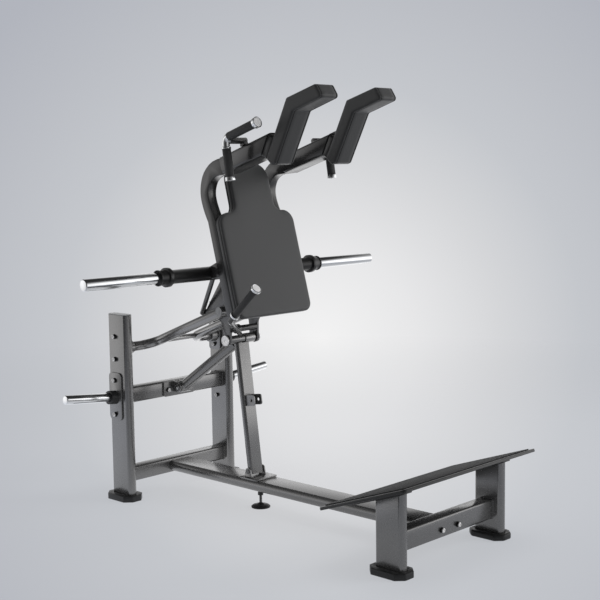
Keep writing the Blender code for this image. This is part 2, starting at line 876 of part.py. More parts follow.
def prop():
    up = prop_direction()
    reach = (Vector(link_front) - Vector(prop_hinge)).length - sleeve_radius - prop_top_gap
    length = reach + prop_tail
    middle = Vector(prop_hinge) + up * (reach - prop_tail) / 2
    section = flat_oval(prop_width, prop_thick, prop_end_rise)
    bar = extruded(section, length, across_frame(middle, (up[1], -up[0])))
    bore = cross_rod(prop_hinge, cutter_reach, prop_pin_radius + pin_play)
    finish(welded(bar, catch_solids(up), [bore]), "prop", "arm_silver")


def catch_solids(up):
    """The U bracket welded on the prop's front face: its base and two ears."""
    frame = across_frame(Vector(prop_hinge) + up * catch_along, up)
    base_z = (prop_thick + catch_thick) / 2 - weld_depth
    solids = [box((2 * catch_half_width, catch_height, catch_thick), frame @ spot(0, 0, base_z))]
    ear_x = catch_half_width - catch_thick / 2
    outline = rectangle(catch_height - weld_depth, catch_reach, catch_corner,
                        (0, base_z + catch_reach / 2))
    hole = circle((0, base_z + catch_hole_out), catch_hole, 16)
    for x in (-ear_x, ear_x):
        solids.append(extruded(outline, catch_thick - weld_depth, frame @ side_frame(x), [hole]))
    return solids


def coupler_outline():
    front = lower_bar_y + lower_bar_size[0] / 2 + gap
    z = carriage_pivot[1]
    corners = [(front, z + height) for height in coupler_front]
    corners += placed([(y, z) for y, z, radius in coupler_shape], carriage_pivot)
    radii = [coupler_front_corner] * 2 + [radius for y, z, radius in coupler_shape]
    return rounded(corners, radii)


def couplers():
    """Each side plate with its pivot bearing, and the gusset and brace up to the sleeve."""
    face = coupler_x + coupler_thick / 2
    inner = coupler_x - coupler_thick / 2
    gusset = placed(gusset_shape, carriage_pivot)
    for side, word in sides:
        plate = extruded(coupler_outline(), coupler_thick, side_frame(side * coupler_x))
        web_x = face + gusset_thick / 2 - weld_depth
        web = extruded(gusset, gusset_thick, side_frame(side * web_x))
        bearing = rod(at(side, inner + weld_depth, carriage_pivot),
                      at(side, inner - carriage_bearing_length, carriage_pivot),
                      carriage_bearing_radius, 28)
        holes = [horn_sleeve_solid(gap),
                 cross_rod(carriage_pivot, cutter_reach, arm_cross_radius + pin_play, 32),
                 cross_rod(link_front, cutter_reach, axle_radius + pin_play)]
        piece = welded(plate, [web, brace_solid(side), bearing], holes)
        finish(piece, "coupler_" + word, "carriage_charcoal")


def lower_axle():
    half = coupler_x + coupler_thick / 2 + gap
    axle = headed_pin(link_front, half, axle_radius, axle_head_radius, axle_head_thick)
    finish(axle, "lower_axle", "chrome")


def carriage_bars():
    half = coupler_x - coupler_thick / 2 - gap
    finish(cross_rod(bridge_place, half, bridge_radius), "bridge_bar", "carriage_charcoal")
    width = 2 * (rail_x - rail_width / 2 - gap)
    bar = box((width, *lower_bar_size), spot(0, lower_bar_y, lower_bar_z))
    finish(bar, "lower_bar", "carriage_charcoal")


def shoulder_arm_ends():
    """Bottom and top of the shoulder arm's rear face, and of its seam with the pad mount."""
    forward = Vector((-math.cos(arm_slope), math.sin(arm_slope)))
    bottom = Vector(arm_rear_bottom)
    top = bottom + square_to(-forward) * -arm_depth
    return (bottom, top), (bottom + forward * arm_bottom_length, top + forward * arm_top_length)


def rail_stations():
    """Front and rear points of the rail's sections, from its foot to the shoulder arm."""
    up = heading(rail_bottom, rail_joint)
    rear = square_to(up)
    half = rail_width / 2
    stations = [(Vector(p) - rear * half, Vector(p) + rear * half) for p in (rail_bottom, rail_joint)]
    bottom, top = shoulder_arm_ends()[0]
    back = Vector((math.cos(arm_slope), -math.sin(arm_slope)))
    end = (bottom + top) / 2
    line = through([(*rail_joint, half), *rail_bend, (*end, arm_depth / 2)], 3)
    for before, here, after in zip(line, line[1:], line[2:]):
        normal = square_to(heading(before[:2], after[:2]))
        centre = Vector(here[:2])
        stations.append((centre - normal * here[2], centre + normal * here[2]))
    stations.append((bottom + back * gap, top + back * gap))
    return stations


def rails():
    for side, word in sides:
        inner = rail_x - rail_width / 2
        bar = swept_bar(rail_stations(), side, inner, inner + rail_width, rail_edge, 2)
        piece = welded(bar, [saddle_solid(side)], [horn_sleeve_solid(gap)])
        finish(piece, "rail_" + word, "carriage_charcoal")


def shoulder_arms():
    rear, seam = shoulder_arm_ends()
    for side, word in sides:
        bar = swept_bar([rear, seam], side, arm_inner_x, arm_outer_x, arm_edge, 4)
        finish(bar, "shoulder_arm_" + word, "carriage_charcoal")


def seam_frame():
    """The seam's two ends, and the directions up it and out of it."""
    bottom, top = shoulder_arm_ends()[1]
    up = heading(bottom, top)
    return bottom, top, up, Vector((-up[1], up[0]))


def pad_mounts():
    bottom, top, up, forward = seam_frame()
    low = bottom + up * mount_inset
    high = top - up * mount_inset
    stations = [(low + forward * reach, high + forward * reach)
                for reach in (gap, gap + mount_length)]
    for side, word in sides:
        block = swept_bar(stations, side, arm_inner_x + mount_inset, arm_outer_x - mount_inset,
                          mount_edge)
        finish(block, "pad_mount_" + word, "black_paint")


def shoulder_pads():
    bottom, _, up, forward = seam_frame()
    rear = bottom + up * shoulder_rear_rise + forward * (mount_length + 2 * gap)
    corners = [rear, rear + up * shoulder_rear_length,
               *(rear + Vector(step) for step in shoulder_outline)]
    outline = rounded(corners, shoulder_corner, 4)
    for side, word in sides:
        pad = cushion(outline, shoulder_half - shoulder_crown, shoulder_crown, shoulder_reach,
                      side_frame(side * shoulder_x), mirrored=True)
        finish(pad, "shoulder_pad_" + word, "upholstery")


def pad_outline(inset):
    """The back pad seen from the front: wide below, with a narrow head part."""
    wide = pad_half_width - inset
    neck = pad_neck_half - inset
    head = pad_head_half - inset
    ledge = pad_shoulder - inset
    top = pad_length - inset
    right = [(wide, inset), (wide, ledge), (neck, ledge), (head, top)]
    radii = [pad_bottom_corner - inset, pad_shoulder_corner - inset, pad_neck_corner + inset,
             pad_head_corner - inset]
    left = [(-x, v) for x, v in right[::-1]]
    return rounded(right + left, radii + radii[::-1], 5)


def back_pad():
    place = across_frame(pad_bottom, heading(rail_bottom, rail_joint))
    board = extruded(pad_outline(board_inset), board_thick,
                     place @ spot(0, 0, gap + board_thick / 2))
    finish(board, "back_pad_board", "black_paint")
    pad = cushion(pad_outline(0), pad_side, pad_crown, pad_reach,
                  place @ spot(0, 0, 2 * gap + board_thick), mirrored=False)
    foot = min(v.co.z for v in pad.data.vertices)
    for vert in pad.data.vertices:
        if vert.co.z < foot + gap:
            outward = Vector((vert.normal.x, vert.normal.y, 0)).normalized()
            vert.co -= outward * pad_drawn_in
    finish(pad, "back_pad", "upholstery")


def horn_sleeve_solid(clearance):
    return cross_rod(horn_axis, horn_sleeve_end, horn_sleeve_radius + clearance, 32)


def horn_sleeve():
    """The tube behind the rails, with a collar and a hub at each end."""
    steps = [(0, horn_hub_end), (horn_hub_radius, horn_hub_end),
             (horn_hub_radius, horn_sleeve_end + horn_collar_length),
             (horn_collar_radius, horn_sleeve_end + horn_collar_length),
             (horn_collar_radius, horn_sleeve_end), (horn_sleeve_radius, horn_sleeve_end)]
    profile = steps + [(r, -x) for r, x in steps[::-1]]
    finish(turned(profile, at(1, 0, horn_axis), (1, 0, 0), 32), "horn_sleeve", "black_paint")


def horns():
    length = horn_end - horn_hub_end - gap
    profile = [(0, length), (horn_radius - bar_chamfer, length),
               (horn_radius, length - bar_chamfer), (horn_radius, 0), (0, 0)]
    for side, word in sides:
        bar = turned(profile, at(side, horn_hub_end + gap, horn_axis), (side, 0, 0), 28)
        finish(bar, "horn_" + word, "chrome")


def saddle_solid(side):
    """The block on the rail's rear face that carries the sleeve."""
    up = heading(rail_bottom, rail_joint)
    rear = square_to(up)
    reach = (Vector(horn_axis) - Vector(rail_bottom)).dot(up)
    seat = Vector(rail_bottom) + up * reach + rear * (rail_width / 2 - weld_depth)
    depth = (Vector(horn_axis) - seat).dot(rear)
    front = (seat - up * saddle_half_height, seat + up * saddle_half_height)
    back = (seat - up * saddle_back_half + rear * depth,
            seat + up * saddle_back_half + rear * depth)
    inner = rail_x - saddle_width / 2
    return swept_bar([front, back], side, inner, inner + saddle_width, saddle_edge, 2)


def brace_solid(side):
    (x, y, z), (foot_x, foot_place, foot_z) = brace_top, brace_foot
    return rod((side * x, y, z), (side * foot_x, foot_place, foot_z), brace_radius, 20)


def handle_line(side):
    corners = [at(side, handle_x, place) for place in (handle_foot, handle_corner, handle_front)]
    return smooth_path(corners, handle_bend)


def upper_handles():
    bore = handle_bar_radius + gap
    rise = heading(handle_foot, handle_corner)
    forward = heading(handle_corner, handle_front)
    for side, word in sides:
        bracket = rod(at(side, handle_bracket_inner, handle_bracket_place),
                      at(side, handle_x - handle_bar_radius / 2, handle_bracket_place),
                      handle_bracket_radius, 20)
        bar = tube(handle_line(side), handle_bar_radius)
        finish(welded(bar, [bracket, bracket_foot(side)]), "upper_handle_" + word,
               "carriage_charcoal")
        start = Vector(handle_foot) + rise * upper_grip_start
        grip = ring(at(side, handle_x, start), at(side, handle_x, start + rise * upper_grip_length),
                    upper_grip_radius, bore)
        finish(grip, "upright_grip_" + word, "rubber")
        start = Vector(handle_corner) + forward * inclined_grip_start
        end = Vector(handle_front) - forward * inclined_grip_end
        grip = ring(at(side, handle_x, start), at(side, handle_x, end), upper_grip_radius, bore)
        finish(grip, "inclined_grip_" + word, "rubber")


def bracket_foot(side):
    """The saddle that seats the bracket bar on the shoulder arm's top face."""
    corner = shoulder_arm_ends()[0][1]
    forward = Vector((-math.cos(arm_slope), math.sin(arm_slope)))
    up = square_to(-forward) * -1
    bar = Vector(handle_bracket_place) - corner
    low = corner + forward * bar.dot(forward) + up * gap
    high = Vector(handle_bracket_place)
    half = forward * bracket_foot_depth / 2
    top_half = forward * bracket_foot_top / 2
    stations = [(low - half, low + half), (high - top_half, high + top_half)]
    outer = handle_bracket_inner + bracket_foot_width
    return swept_bar(stations, side, handle_bracket_inner, outer, bracket_foot_edge, 2)


def release_lever():
    """The hub on the bridge bar, with the bent bar and the ring below its grip."""
    inner, outer = lever_hub
    hub = cross_rod(bridge_place, (outer - inner) / 2, lever_hub_radius)
    hub.matrix_world = spot((inner + outer) / 2, 0, 0) @ hub.matrix_world
    out = heading(lever_knee, lever_end)
    first = Vector(lever_knee) + out * lever_ring_start
    top = first + out * lever_ring_length
    collar = rod(first, top, lever_ring_radius, 24)
    bar = tube(smooth_path([lever_root, lever_knee, lever_end], lever_bend), lever_radius)
    bore = cross_rod(bridge_place, cutter_reach, bridge_radius + pin_play)
    finish(welded(bar, [hub, collar], [bore]), "release_lever", "carriage_charcoal")
    grip = ring(top + out * gap, Vector(lever_end) - out * gap, lever_grip_radius,
                lever_radius + gap)
    finish(grip, "lever_grip", "rubber")


def moving(name, place, makers):
    """Build a moving body's pieces and hang them on an empty at its joint."""
    pivot = bpy.data.objects.new(name, None)
    pivot.location = place
    machine.objects.link(pivot)
    fixed = set(machine.objects)
    for make in makers:
        make()
    for item in machine.objects:
        if item not in fixed:
            item.parent = pivot
            item.matrix_parent_inverse = Matrix.Translation(place).inverted()


def centre_on_footprint():
    """Move the origin from between the uprights to the middle of the machine's length."""
    rear = tube_width / 2 + shoe_end
    plate = platform_place()
    length = (Vector(platform_rear) - Vector(platform_front)).length
    front = (plate @ Vector((0, -length / 2, -platform_plate_thick))).y
    for item in [*machine.objects, *cutters.objects]:
        if item.parent is None:
            item.location.y -= (rear + front) / 2


def build():
    clear_scene()
    make_materials()
    for make in (uprights, shoes, crossmembers, main_beam, platform, platform_rails, front_legs,
                 storage, pivot_bearings, link_bracket, prop_base):
        make()
    moving("foot_axis", (0, foot_y, 0), [levelling_foot])
    moving("prop_axis", (0, *prop_hinge), [prop])
    moving("link_axis", (0, *link_pivot), [lower_link])
    moving("arm_axis", (0, *arm_pivot), [swing_arm, arm_brace])
    moving("carriage_axis", (0, *carriage_pivot),
           [couplers, lower_axle, carriage_bars, rails, shoulder_arms, pad_mounts, shoulder_pads,
            back_pad, horn_sleeve, horns, upper_handles])
    moving("lever_axis", (0, *bridge_place), [release_lever])
    centre_on_footprint()


build()
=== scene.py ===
import json
import math

import bmesh
import bpy
from mathutils import Matrix, Vector


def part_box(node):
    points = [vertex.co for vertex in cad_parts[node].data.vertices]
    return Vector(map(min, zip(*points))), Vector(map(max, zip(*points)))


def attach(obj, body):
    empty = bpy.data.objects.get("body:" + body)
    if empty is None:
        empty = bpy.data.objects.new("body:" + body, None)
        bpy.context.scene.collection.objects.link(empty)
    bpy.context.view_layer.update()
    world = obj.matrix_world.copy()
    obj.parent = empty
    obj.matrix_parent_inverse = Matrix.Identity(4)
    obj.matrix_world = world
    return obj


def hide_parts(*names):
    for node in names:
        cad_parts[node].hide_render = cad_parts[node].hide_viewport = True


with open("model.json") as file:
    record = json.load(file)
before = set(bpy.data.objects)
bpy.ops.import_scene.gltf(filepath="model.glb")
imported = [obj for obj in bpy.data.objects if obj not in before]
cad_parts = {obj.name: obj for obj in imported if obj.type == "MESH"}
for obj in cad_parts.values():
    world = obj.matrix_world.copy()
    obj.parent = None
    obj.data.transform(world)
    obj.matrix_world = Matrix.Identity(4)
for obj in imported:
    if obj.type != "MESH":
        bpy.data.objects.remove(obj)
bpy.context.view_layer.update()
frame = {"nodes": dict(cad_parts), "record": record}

scene = bpy.context.scene
sides = {"left": -1, "right": 1}
bodyOf = {node: body for body, members in frame["record"]["behaviour"]["bodies"].items()
          for node in members}
print("loaded", len(frame["nodes"]), "nodes")


def middle(node):
    low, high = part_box(node)
    return (low + high) / 2


postY = middle("upright_left").y


def spot(x, y, z):
    # places are measured from midway between the uprights
    return Vector((x, y + postY, z))


def rising(start, end):
    # direction from one (Y, Z) place to another, in the side plane
    return Vector((0, end[0] - start[0], end[1] - start[1])).normalized()


# shader maths as Python expressions

class Wire:
    def __init__(self, tree, socket):
        self.tree = tree
        self.socket = socket

    def math(self, operation, other=0.0, swapped=False):
        made = self.tree.nodes.new("ShaderNodeMath")
        made.operation = operation
        pair = (other, self) if swapped else (self, other)
        for slot, value in zip(made.inputs, pair):
            feed(self.tree, slot, value)
        return Wire(self.tree, made.outputs[0])

    def __add__(self, other):
        return self.math("ADD", other)

    def __radd__(self, other):
        return self.math("ADD", other)

    def __sub__(self, other):
        return self.math("SUBTRACT", other)

    def __rsub__(self, other):
        return self.math("SUBTRACT", other, True)

    def __mul__(self, other):
        return self.math("MULTIPLY", other)

    def __rmul__(self, other):
        return self.math("MULTIPLY", other)

    def __truediv__(self, other):
        return self.math("DIVIDE", other)

    def __pow__(self, other):
        return self.math("POWER", other)

    def clamped(self):
        return self.math("MAXIMUM", 0.0).math("MINIMUM", 1.0)


def feed(tree, slot, value):
    if isinstance(value, Wire):
        tree.links.new(value.socket, slot)
    else:
        slot.default_value = value


class Graph:
    def __init__(self, tree):
        self.tree = tree

    def add(self, kind, settings=None, inputs=None, out=0):
        made = self.tree.nodes.new("ShaderNode" + kind)
        for key, value in (settings or {}).items():
            if key == "stops":
                setStops(made.color_ramp, value)
            else:
                setattr(made, key, value)
        for key, value in (inputs or {}).items():
            feed(self.tree, made.inputs[key], value)
        return Wire(self.tree, made.outputs[out])

    def mixed(self, factor, first, second):
        return self.add("Mix", {"data_type": "RGBA"}, {0: factor, 6: first, 7: second}, 2)

    def noise(self, place, scale, detail=3.0, rough=0.55):
        return self.add("TexNoise", None, {"Vector": place, "Scale": scale, "Detail": detail,
                                           "Roughness": rough})


def setStops(ramp, stops):
    while len(ramp.elements) > 1:
        ramp.elements.remove(ramp.elements[-1])
    for i, (place, colour) in enumerate(stops):
        stop = ramp.elements[0] if i == 0 else ramp.elements.new(place)
        stop.position = place
        stop.color = (*colour, 1.0)


class Paint(Graph):
    def __init__(self, name, fixed):
        self.material = bpy.data.materials.new(name)
        self.material.use_nodes = True
        Graph.__init__(self, self.material.node_tree)
        self.shader = self.tree.nodes["Principled BSDF"]
        for key, value in fixed.items():
            self.shader.inputs[key].default_value = value
        self.place = self.add("TexCoord", None, None, 3)  # Object coordinates

    def set(self, slot, value):
        feed(self.tree, self.shader.inputs[slot], value)

    def bump(self, height, strength, distance):
        self.set("Normal", self.add("Bump", None, {"Strength": strength, "Distance": distance,
                                                   "Height": height}))


def grey(value, tint=0.0):
    return (value * (1 - tint), value, value * (1 + tint), 1.0)


# painted steel: orange peel, faint mottling and a slightly uneven gloss

powderCoat = {"peelScale": 260, "peelDepth": 0.000008, "peelStrength": 0.1, "mottleScale": 9,
              "mottle": 0.07, "fineScale": 126, "fineShare": 0.3, "glossSpread": 0.08,
              "tint": -0.012, "coat": 0.15, "coatGloss": 0.25}


def paintedSteel(name, tone, metal, gloss):
    p = powderCoat
    paint = Paint(name, {"Metallic": metal, "Coat Weight": p["coat"],
                         "Coat Roughness": p["coatGloss"]})
    mottle = paint.noise(paint.place, p["mottleScale"])
    fine = paint.noise(paint.place, p["fineScale"], 2.0)
    dark = grey(tone * (1 - p["mottle"]), p["tint"])
    light = grey(tone * (1 + p["mottle"]), p["tint"])
    uneven = mottle * (1 - p["fineShare"]) + fine * p["fineShare"]
    paint.set("Base Color", paint.mixed(uneven, dark, light))
    paint.set("Roughness", gloss + (fine - 0.5) * p["glossSpread"])
    peel = paint.noise(paint.place, p["peelScale"], 1.0)
    paint.bump(peel, p["peelStrength"], p["peelDepth"])
    return paint.material


chromeLook = {"smear": 0.05, "smearScale": 5, "scratch": 0.02, "scratchScale": 160,
              "dark": 0.94, "light": 1.04, "tint": 0.01}


def platedSteel(name, tone, gloss):
    c = chromeLook
    paint = Paint(name, {"Metallic": 1.0})
    smear = paint.noise(paint.place, c["smearScale"], 4.0)
    scratch = paint.noise(paint.place, c["scratchScale"], 2.0)
    paint.set("Base Color", paint.mixed(smear, grey(tone * c["dark"], c["tint"]),
                                        grey(tone * c["light"], c["tint"])))
    paint.set("Roughness", gloss + smear * c["smear"] + scratch * c["scratch"])
    return paint.material


rubberLook = {"tone": 0.013, "gloss": 0.40, "specular": 0.4, "grainScale": 420,
              "grainDepth": 0.00025, "grainStrength": 0.4, "grainGloss": 0.14,
              "dustScale": 12, "dustFrom": 0.35, "dustTone": 1.7, "dustTint": 0.02}


def mouldedRubber(name, tone=rubberLook["tone"], gloss=rubberLook["gloss"]):
    r = rubberLook
    paint = Paint(name, {"Metallic": 0.0, "Specular IOR Level": r["specular"]})
    dust = paint.noise(paint.place, r["dustScale"], 4.0)
    grain = paint.noise(paint.place, r["grainScale"], 2.0)
    paint.set("Base Color", paint.mixed((dust - r["dustFrom"]).clamped(), grey(tone),
                                        grey(tone * r["dustTone"], r["dustTint"])))
    paint.set("Roughness", gloss + (grain - 0.5) * r["grainGloss"])
    paint.bump(grain, r["grainStrength"], r["grainDepth"])
    return paint.material


gripLook = {"tone": 0.024, "low": 0.55, "high": 1.5, "ribPitch": 0.0042, "ribDepth": 0.0006,
            "ribStrength": 0.7, "gloss": 0.62, "ribGloss": 0.1, "specular": 0.45,
            "grainScale": 500, "grainShare": 0.15}


def ribbedGrip(name, direction):
    # ribs run round the sleeve, so they count distance along its axis
    g = gripLook
    paint = Paint(name, {"Metallic": 0.0, "Specular IOR Level": g["specular"]})
    along = paint.add("VectorMath", {"operation": "DOT_PRODUCT"},
                      {0: paint.place, 1: tuple(direction)}, 1)
    rib = (along * (2 * math.pi / g["ribPitch"])).math("SINE") * 0.5 + 0.5
    grain = paint.noise(paint.place, g["grainScale"], 2.0)
    # the grooves between the ribs are painted darker as painted shade, and the crests lighter as
    # painted highlight
    paint.set("Base Color", paint.mixed(rib, grey(g["tone"] * g["low"]),
                                        grey(g["tone"] * g["high"])))
    paint.set("Roughness", g["gloss"] - rib * g["ribGloss"])
    paint.bump(rib + grain * g["grainShare"], g["ribStrength"], g["ribDepth"])
    return paint.material


vinylLook = {"grainScale": 480, "wobbleScale": 60, "wobble": 0.004, "poreSharp": 4.0,
             "poreShade": 0.35, "poreTone": 1.05, "poreGloss": 0.12, "wrinkleScale": 150,
             "wrinkleShare": 0.6, "strength": 0.55, "depth": 0.00009, "gloss": 0.34,
             "rubScale": 4.5, "rubDark": 0.90, "rubLight": 1.12, "rubGloss": 0.06,
             "specular": 0.38, "sheen": 0.08}


def padVinyl(name, tone):
    # leather-like cells, fine wrinkles between them and a slightly rubbed surface
    v = vinylLook
    paint = Paint(name, {"Metallic": 0.0, "Specular IOR Level": v["specular"],
                         "Sheen Weight": v["sheen"]})
    wobble = paint.add("TexNoise", None, {"Vector": paint.place, "Scale": v["wobbleScale"]}, 1)
    warped = paint.add("VectorMath", {"operation": "MULTIPLY_ADD"},
                       {0: wobble, 1: (v["wobble"],) * 3, 2: paint.place})
    cells = paint.add("TexVoronoi", {"feature": "DISTANCE_TO_EDGE"},
                      {"Vector": warped, "Scale": v["grainScale"]})
    wrinkle = paint.noise(paint.place, v["wrinkleScale"], 4.0)
    rubbed = paint.noise(paint.place, v["rubScale"], 3.0)
    pores = (cells * v["poreSharp"]).clamped()
    colour = paint.mixed(rubbed, grey(tone * v["rubDark"]), grey(tone * v["rubLight"]))
    # the creases between the cells are painted a little darker than the cell tops, as painted
    # shade
    paint.set("Base Color", paint.mixed(1.0 - pores * v["poreShade"], grey(tone * v["poreTone"]),
                                        colour))
    paint.set("Roughness", v["gloss"] + (1.0 - pores) * v["poreGloss"] + rubbed * v["rubGloss"])
    paint.bump(pores + wrinkle * v["wrinkleShare"], v["strength"], v["depth"])
    return paint.material


treadLook = {"tone": 0.018, "low": 0.7, "high": 1.6, "pitch": 0.011, "turn": 45, "sharp": 2.2,
             "depth": 0.0009, "strength": 0.8, "gloss": 0.78, "studGloss": 0.16,
             "specular": 0.35, "dustScale": 9, "dustShare": 0.5, "dustHeight": 0.2}


def treadMat(tilt):
    # small raised diamonds in rows, turned to lie in the inclined plate
    t = treadLook
    paint = Paint("treadMat", {"Metallic": 0.0, "Specular IOR Level": t["specular"]})
    flat = paint.add("Mapping", None, {"Vector": paint.place,
                                       "Rotation": (tilt, 0, math.radians(t["turn"]))})
    parts = paint.tree.nodes.new("ShaderNodeSeparateXYZ")
    feed(paint.tree, parts.inputs[0], flat)
    across, along = (Wire(paint.tree, parts.outputs[i]) for i in (0, 1))
    turn = 2 * math.pi / t["pitch"]
    stud = ((across * turn).math("SINE") * (along * turn).math("SINE") * t["sharp"]).clamped()
    dust = paint.noise(paint.place, t["dustScale"], 5.0)
    # the gaps between the studs are painted darker as painted shade and the studs lighter, mixed
    # with dust
    studShadeAndDust = stud * (1 - t["dustShare"]) + dust * t["dustShare"]
    paint.set("Base Color", paint.mixed(studShadeAndDust, grey(t["tone"] * t["low"]),
                                        grey(t["tone"] * t["high"])))
    paint.set("Roughness", t["gloss"] - stud * t["studGloss"])
    paint.bump(stud + dust * t["dustHeight"], t["strength"], t["depth"])
    return paint.material


plateRear, plateFront = (-1.280, 0.219), (-1.685, 0.358)
plateFall = rising(plateFront, plateRear)
handlePlaces = {"x": 0.298, "foot": (-0.7264, 1.4140), "corner": (-0.7010, 1.5786),
                "front": (-0.8760, 1.6340), "footIn": 0.0132, "frontIn": 0.0048,
                "bareIn": 0.0165}
leverPlaces = {"knee": (-0.243, -0.650, 0.842), "end": (-0.245, -0.803, 0.981),
               "bareFrom": 0.030, "endIn": 0.0006}
gripLines = {"upright": rising(handlePlaces["foot"], handlePlaces["corner"]),
             "inclined": rising(handlePlaces["corner"], handlePlaces["front"]),
             "lever": (spot(*leverPlaces["end"]) - spot(*leverPlaces["knee"])).normalized()}
paints = {
    "frame": paintedSteel("frameGrey", 0.215, 0.85, 0.26),
    "arm": paintedSteel("armSilver", 0.30, 0.88, 0.24),
    "carriage": paintedSteel("carriageCharcoal", 0.070, 0.75, 0.22),
    # a lighter copy of the carriage charcoal, painted light standing in for the light on the
    # couplers; the prop pin and the foot's stem use it too
    "darkCarriage": paintedSteel("couplerCharcoal", 0.13, 0.80, 0.28),
    "black": paintedSteel("blackPaint", 0.012, 0.20, 0.30),
    "platform": paintedSteel("platformPaint", 0.018, 0.30, 0.38),
    "chrome": platedSteel("polishedChrome", 0.78, 0.11),
    "bolt": paintedSteel("zincBolt", 0.80, 0.30, 0.30),
    "rubber": mouldedRubber("shoeRubber"),
    "plasticCap": mouldedRubber("capPlastic", 0.23, 0.40),
    "satin": paintedSteel("satinDisc", 0.62, 0.15, 0.45),
    "board": mouldedRubber("boardBacking", 0.012, 0.60),
    "backVinyl": padVinyl("backVinyl", 0.035),
    # a darker copy of the back pad's vinyl: painted shade for the shoulder pads, which face down
    "shoulderVinyl": padVinyl("shoulderVinyl", 0.023),
    # the seam channels of the pads are painted near-black as their shade
    "seam": mouldedRubber("seamPaintedShade", 0.008, 0.70),
    "tread": treadMat(-math.atan2(plateFall.z, plateFall.y)),
    "uprightGrip": ribbedGrip("uprightGripRubber", gripLines["upright"]),
    "inclinedGrip": ribbedGrip("inclinedGripRubber", gripLines["inclined"]),
    "leverGrip": ribbedGrip("leverGripRubber", gripLines["lever"]),
}
print("mixed", len(paints), "paints")


# modelling by hand: one active piece, faces picked by place or normal

def activate(item):
    if bpy.context.object and bpy.context.object.mode != "OBJECT":
        bpy.ops.object.mode_set(mode="OBJECT")
    bpy.ops.object.select_all(action="DESELECT")
    item.select_set(True)
    bpy.context.view_layer.objects.active = item


def editing(item):
    activate(item)
    bpy.ops.object.mode_set(mode="EDIT")
    bpy.ops.mesh.select_mode(type="FACE")
    bpy.ops.mesh.select_all(action="DESELECT")


def pickFaces(item, wanted):
    shape = bmesh.from_edit_mesh(item.data)
    for patch in shape.faces:
        patch.select_set(wanted(patch))
    bmesh.update_edit_mesh(item.data)


def closeEdit():
    bpy.ops.object.mode_set(mode="OBJECT")


def applied(item, kind, settings):
    activate(item)
    modifier = item.modifiers.new(kind.lower(), kind)
    for key, value in settings.items():
        setattr(modifier, key, value)
    bpy.ops.object.modifier_apply(modifier=modifier.name)


def bevelled(item, width, angle, segments=2):
    # only the edges sharper than the angle
    applied(item, "BEVEL", {"width": width, "segments": segments, "limit_method": "ANGLE",
                            "angle_limit": math.radians(angle)})


def smoothed(item, angle):
    activate(item)
    bpy.ops.object.shade_smooth_by_angle(angle=math.radians(angle))
    return item


def settled(item, name, paint, body):
    # the object stays at the origin, and its place goes into its mesh
    activate(item)
    bpy.ops.object.transform_apply(location=True, rotation=True, scale=True)
    item.name = name
    item.data.name = name
    item.data.materials.clear()
    item.data.materials.append(paints[paint])
    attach(item, body)
    return item


def turnedTo(place, direction):
    return Matrix.Translation(place) @ direction.to_track_quat("Z", "Y").to_matrix().to_4x4()


def twin(pattern, name, matrix, body, paint):
    copy = bpy.data.objects.new(name, pattern.data.copy())
    scene.collection.objects.link(copy)
    copy.data.transform(matrix)
    return settled(copy, name, paint, body)


def discard(item):
    bpy.data.objects.remove(item, do_unlink=True)


# the welded and cut steel, with its edges broken and its facets smoothed

dressing = {
    "frameTubes": {"nodes": ["upright_left", "upright_right", "front_leg_left", "front_leg_right",
                             "main_beam"], "paint": "frame", "edge": 0.0010, "angle": 20},
    "crossmembers": {"nodes": ["lower_crossmember", "upper_crossmember", "front_crossmember"],
                     "paint": "frame", "edge": 0.0008, "angle": 35},
    "plates": {"nodes": ["storage_plate_left", "storage_plate_right", "pivot_bearing_left",
                         "pivot_bearing_right", "prop_base"],
               "paint": "frame", "edge": 0.0010, "angle": 30},
    "platform": {"nodes": ["platform_plate", "platform_rail_left", "platform_rail_right"],
                 "paint": "platform", "edge": 0.0020, "angle": 30},
    "tread": {"nodes": ["tread_mat"], "paint": "tread", "edge": 0.0012, "angle": 30},
    "shoes": {"nodes": ["rear_shoe_left", "rear_shoe_right", "front_shoe_left",
                        "front_shoe_right"], "paint": "rubber", "edge": 0.0075, "angle": 40},
    "arms": {"nodes": ["arm_tube_left", "arm_tube_right", "arm_cross_tube", "arm_brace"],
             "paint": "arm", "edge": 0.0008, "angle": 30},
    "prop": {"nodes": ["prop"], "paint": "frame", "edge": 0.0008, "angle": 22},
    "link": {"nodes": ["lower_link", "link_bracket"], "paint": "frame", "edge": 0.0008,
             "angle": 30},
    "couplers": {"nodes": ["coupler_left", "coupler_right"], "paint": "darkCarriage",
                 "edge": 0.0008, "angle": 30},
    "carriage": {"nodes": ["rail_left", "rail_right", "shoulder_arm_left", "shoulder_arm_right",
                           "lower_bar", "bridge_bar", "upper_handle_left", "upper_handle_right",
                           "release_lever"], "paint": "carriage", "edge": 0.0010, "angle": 30},
    "blocks": {"nodes": ["pad_mount_left", "pad_mount_right", "horn_sleeve"], "paint": "black",
               "edge": 0.0012, "angle": 30},
    "board": {"nodes": ["back_pad_board"], "paint": "board", "edge": 0.0020, "angle": 30},
    "chromed": {"nodes": ["horn_left", "horn_right", "storage_peg_left", "storage_peg_right",
                          "lower_axle", "link_pin"],
                "paint": "chrome", "edge": 0.0007, "angle": 30},
    "foot": {"nodes": ["levelling_foot"], "paint": "rubber", "edge": 0.0010, "angle": 30},
    "propPin": {"nodes": ["prop_pin"], "paint": "darkCarriage", "edge": 0.0007, "angle": 30},
    "uprightGrips": {"nodes": ["upright_grip_left", "upright_grip_right"],
                     "paint": "uprightGrip", "edge": 0.0012, "angle": 35},
    "inclinedGrips": {"nodes": ["inclined_grip_left", "inclined_grip_right"],
                      "paint": "inclinedGrip", "edge": 0.0012, "angle": 35},
    "leverGrip": {"nodes": ["lever_grip"], "paint": "leverGrip", "edge": 0.0012, "angle": 35},
}
mergeReach = 0.00002
flatAngle = math.radians(0.4)
creaseAngle = 32
levelNormal = 0.9  # a face lies level when its normal's Z is above this
finished = {}


